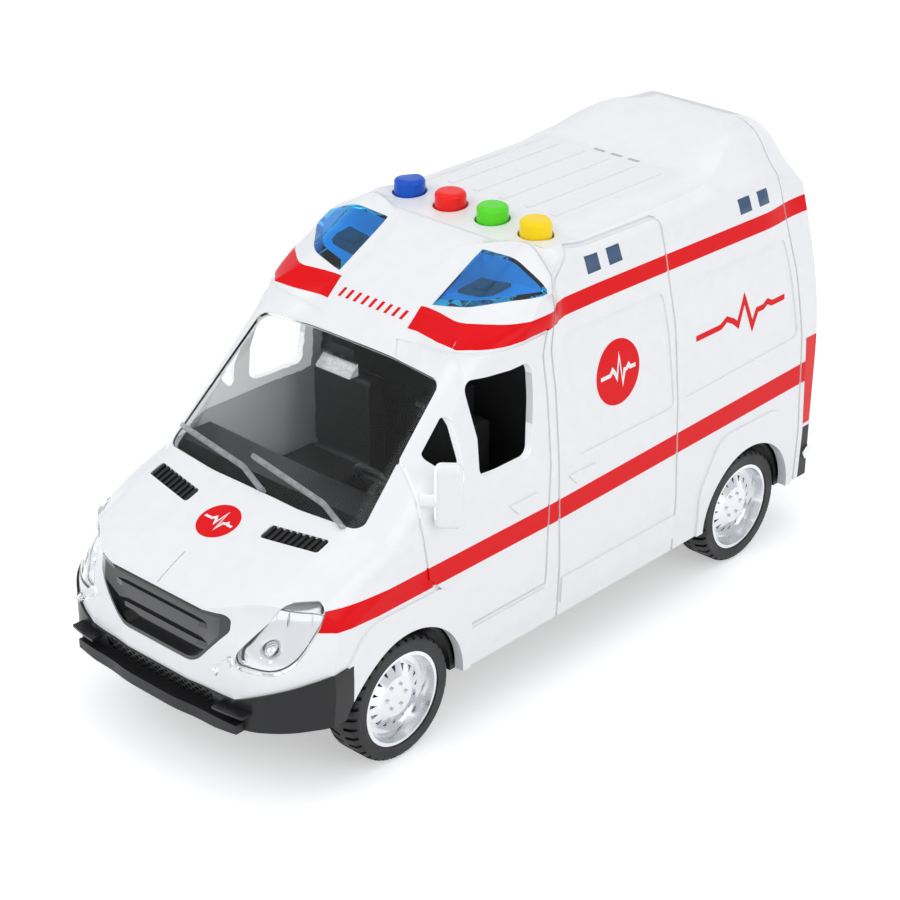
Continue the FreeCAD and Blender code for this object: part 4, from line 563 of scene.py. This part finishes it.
def ribbon(points, width):
    """The outlines of a band of even width along a line of points."""
    pieces = []
    half = width / 2
    sides = []
    for index, (u, v) in enumerate(points):
        before = Vector(points[index]) - Vector(points[max(index - 1, 0)])
        after = Vector(points[min(index + 1, len(points) - 1)]) - Vector(points[index])
        before = before.normalized() if before.length else after.normalized()
        after = after.normalized() if after.length else before
        along = (before + after).normalized()
        normal = Vector((-along.y, along.x))
        reach = half / max(normal.dot(Vector((-after.y, after.x))), 0.45)
        sides.append((Vector((u, v)) + normal * reach, Vector((u, v)) - normal * reach))
    for (a, b), (c, d) in zip(sides, sides[1:]):
        pieces.append([tuple(b), tuple(d), tuple(c), tuple(a)])
    return pieces


def disc(radius, count=64):
    return [[(radius * math.cos(2 * math.pi * i / count), radius * math.sin(2 * math.pi * i / count))
             for i in range(count)]]


PULSE = [(-1.0, 0.0), (-0.46, 0.0), (-0.32, 0.22), (-0.18, 0.0), (-0.08, -0.26), (0.08, 0.78), (0.24, -0.62),
         (0.36, 0.0), (0.5, 0.0), (0.6, 0.16), (0.7, 0.0), (1.0, 0.0)]


def pulse(half_length, half_height):
    return [(u * half_length, v * half_height) for u, v in PULSE]


BODY = surface("cab_shell", "box_shell", "tail_shell")
SIDE_REACH = 45.0  # mm from the middle, just outside the body's sides
BADGE, SIDE_LINE = (119.6, 72.4), (169.6, 71.2)  # setback and height of the marks on the sides
for side, sign in (("left", 1), ("right", -1)):
    along = REARWARDS * sign
    spot = place(sign * SIDE_REACH, *BADGE)
    printed("side_badge_" + side, disc(8.2), spot, along, UPWARDS, PRINT)
    printed("side_badge_line_" + side, ribbon(pulse(6.6, 5.2), 1.0), spot, along, UPWARDS, PRINT_WHITE,
            OVER_PRINT)
    spot = place(sign * SIDE_REACH, *SIDE_LINE)
    printed("side_line_" + side, ribbon(pulse(19.0, 6.0), 1.5), spot, along, UPWARDS, PRINT)

hood_slope = math.atan2(6.9, 21.0)
hood_up = Vector((0, math.cos(hood_slope), math.sin(hood_slope)))
hood_spot = place(0, 22.1, 60.0)
printed("hood_badge", disc(5.4), hood_spot, SIDEWAYS, hood_up, PRINT)
printed("hood_badge_line", ribbon(pulse(4.4, 3.6), 0.7), hood_spot, SIDEWAYS, hood_up, PRINT_WHITE,
        OVER_PRINT)

cap_slope = math.atan(CAP_SLOPE)
cap_up = Vector((0, math.cos(cap_slope), math.sin(cap_slope)))
BAR_PITCH, BARS_EACH_SIDE = 2.5, 4
bars = [[(u - 0.55, -1.25), (u + 0.35, -1.25), (u + 0.95, 1.25), (u + 0.05, 1.25)]
        for u in (BAR_PITCH * step for step in range(-BARS_EACH_SIDE, BARS_EACH_SIDE + 1))]
printed("cap_bars", bars, place(0, 72.0, 97.0), SIDEWAYS, cap_up, PRINT)

# Floor, lamps, camera

floor_mesh = bpy.data.meshes.new("floor")
bent = bmesh.new()
bmesh.ops.create_grid(bent, x_segments=2, y_segments=2, size=3.0)
bent.to_mesh(floor_mesh)
bent.free()
floor = bpy.data.objects.new("floor", floor_mesh)
scene.collection.objects.link(floor)


def floor_material():
    """A pale floor that looks white to the camera and still shows the shadow."""
    nodes = Nodes("floor_white")
    paths = nodes.tree.nodes.new("ShaderNodeLightPath").outputs
    seen = nodes.math("MAXIMUM", nodes.math("MAXIMUM", paths["Is Camera Ray"], paths["Is Glossy Ray"]),
                      paths["Is Transmission Ray"])
    matte = nodes.principled(rgb(0.86, 0.86, 0.86), 0.9, Specular_IOR_Level=0.1)
    glow = nodes.new("ShaderNodeEmission", Strength=nodes.math("MULTIPLY", seen, 0.42))
    both = nodes.new("ShaderNodeAddShader")
    nodes.put(both.inputs[0], matte)
    nodes.put(both.inputs[1], glow.outputs[0])
    return nodes.finish(both.outputs[0])


floor_mesh.materials.append(floor_material())

world = bpy.data.worlds.new("studio")
scene.world = world
world.use_nodes = True
tree = world.node_tree
tree.nodes.clear()
paths = tree.nodes.new("ShaderNodeLightPath")
light = tree.nodes.new("ShaderNodeBackground")
light.inputs["Color"].default_value = rgb(0.95, 0.97, 1.0)
light.inputs["Strength"].default_value = 0.78
seen = tree.nodes.new("ShaderNodeBackground")
seen.inputs["Color"].default_value = rgb(1.0, 1.0, 1.0)
choose = tree.nodes.new("ShaderNodeMixShader")
either = tree.nodes.new("ShaderNodeMath")
either.operation = "MAXIMUM"
tree.links.new(paths.outputs["Is Camera Ray"], either.inputs[0])
tree.links.new(paths.outputs["Is Transmission Ray"], either.inputs[1])
tree.links.new(either.outputs[0], choose.inputs["Fac"])
tree.links.new(light.outputs[0], choose.inputs[1])
tree.links.new(seen.outputs[0], choose.inputs[2])
tree.links.new(choose.outputs[0], tree.nodes.new("ShaderNodeOutputWorld").inputs["Surface"])


def lamp(name, location, target, width, height, power):
    data = bpy.data.lights.new(name, "AREA")
    data.shape = "RECTANGLE"
    data.size, data.size_y = width, height
    data.energy = power
    piece = bpy.data.objects.new(name, data)
    piece.location = location
    piece.rotation_euler = (Vector(target) - Vector(location)).to_track_quat("-Z", "Y").to_euler()
    scene.collection.objects.link(piece)


lamp("key", (-0.25, -0.9, 1.0), (0, 0, 0.05), 0.9, 0.7, 3.2)
lamp("side", (1.1, -0.1, 0.6), (0, 0, 0.06), 0.8, 0.7, 2.6)
lamp("top", (0.0, 0.25, 1.2), (0, 0, 0.05), 1.0, 1.0, 1.2)

# Where the photograph was taken from, worked out from the body's edges in it
PICTURE_PIXELS, FOCAL_PIXELS = 900.0, 2316.45
CAMERA_SPOT = (0.34992, -0.38633, 0.30508)
azimuth, elevation, roll = math.radians(42.34), math.radians(26.60), math.radians(0.56)
back = Vector((math.sin(azimuth) * math.cos(elevation), -math.cos(azimuth) * math.cos(elevation),
               math.sin(elevation)))
right = Vector((math.cos(azimuth), math.sin(azimuth), 0.0))
above = back.cross(right)
turned_right = right * math.cos(roll) + above * math.sin(roll)
turned_above = above * math.cos(roll) - right * math.sin(roll)
camera_data = bpy.data.cameras.new("camera")
camera_data.sensor_width = 36.0
camera_data.lens = camera_data.sensor_width * FOCAL_PIXELS / PICTURE_PIXELS
camera_data.clip_start = 0.01
camera = bpy.data.objects.new("camera", camera_data)
scene.collection.objects.link(camera)
turned = Matrix((turned_right, turned_above, back)).transposed().to_4x4()
camera.matrix_world = Matrix.Translation(CAMERA_SPOT) @ turned
scene.camera = camera
scene.view_settings.view_transform = "Standard"
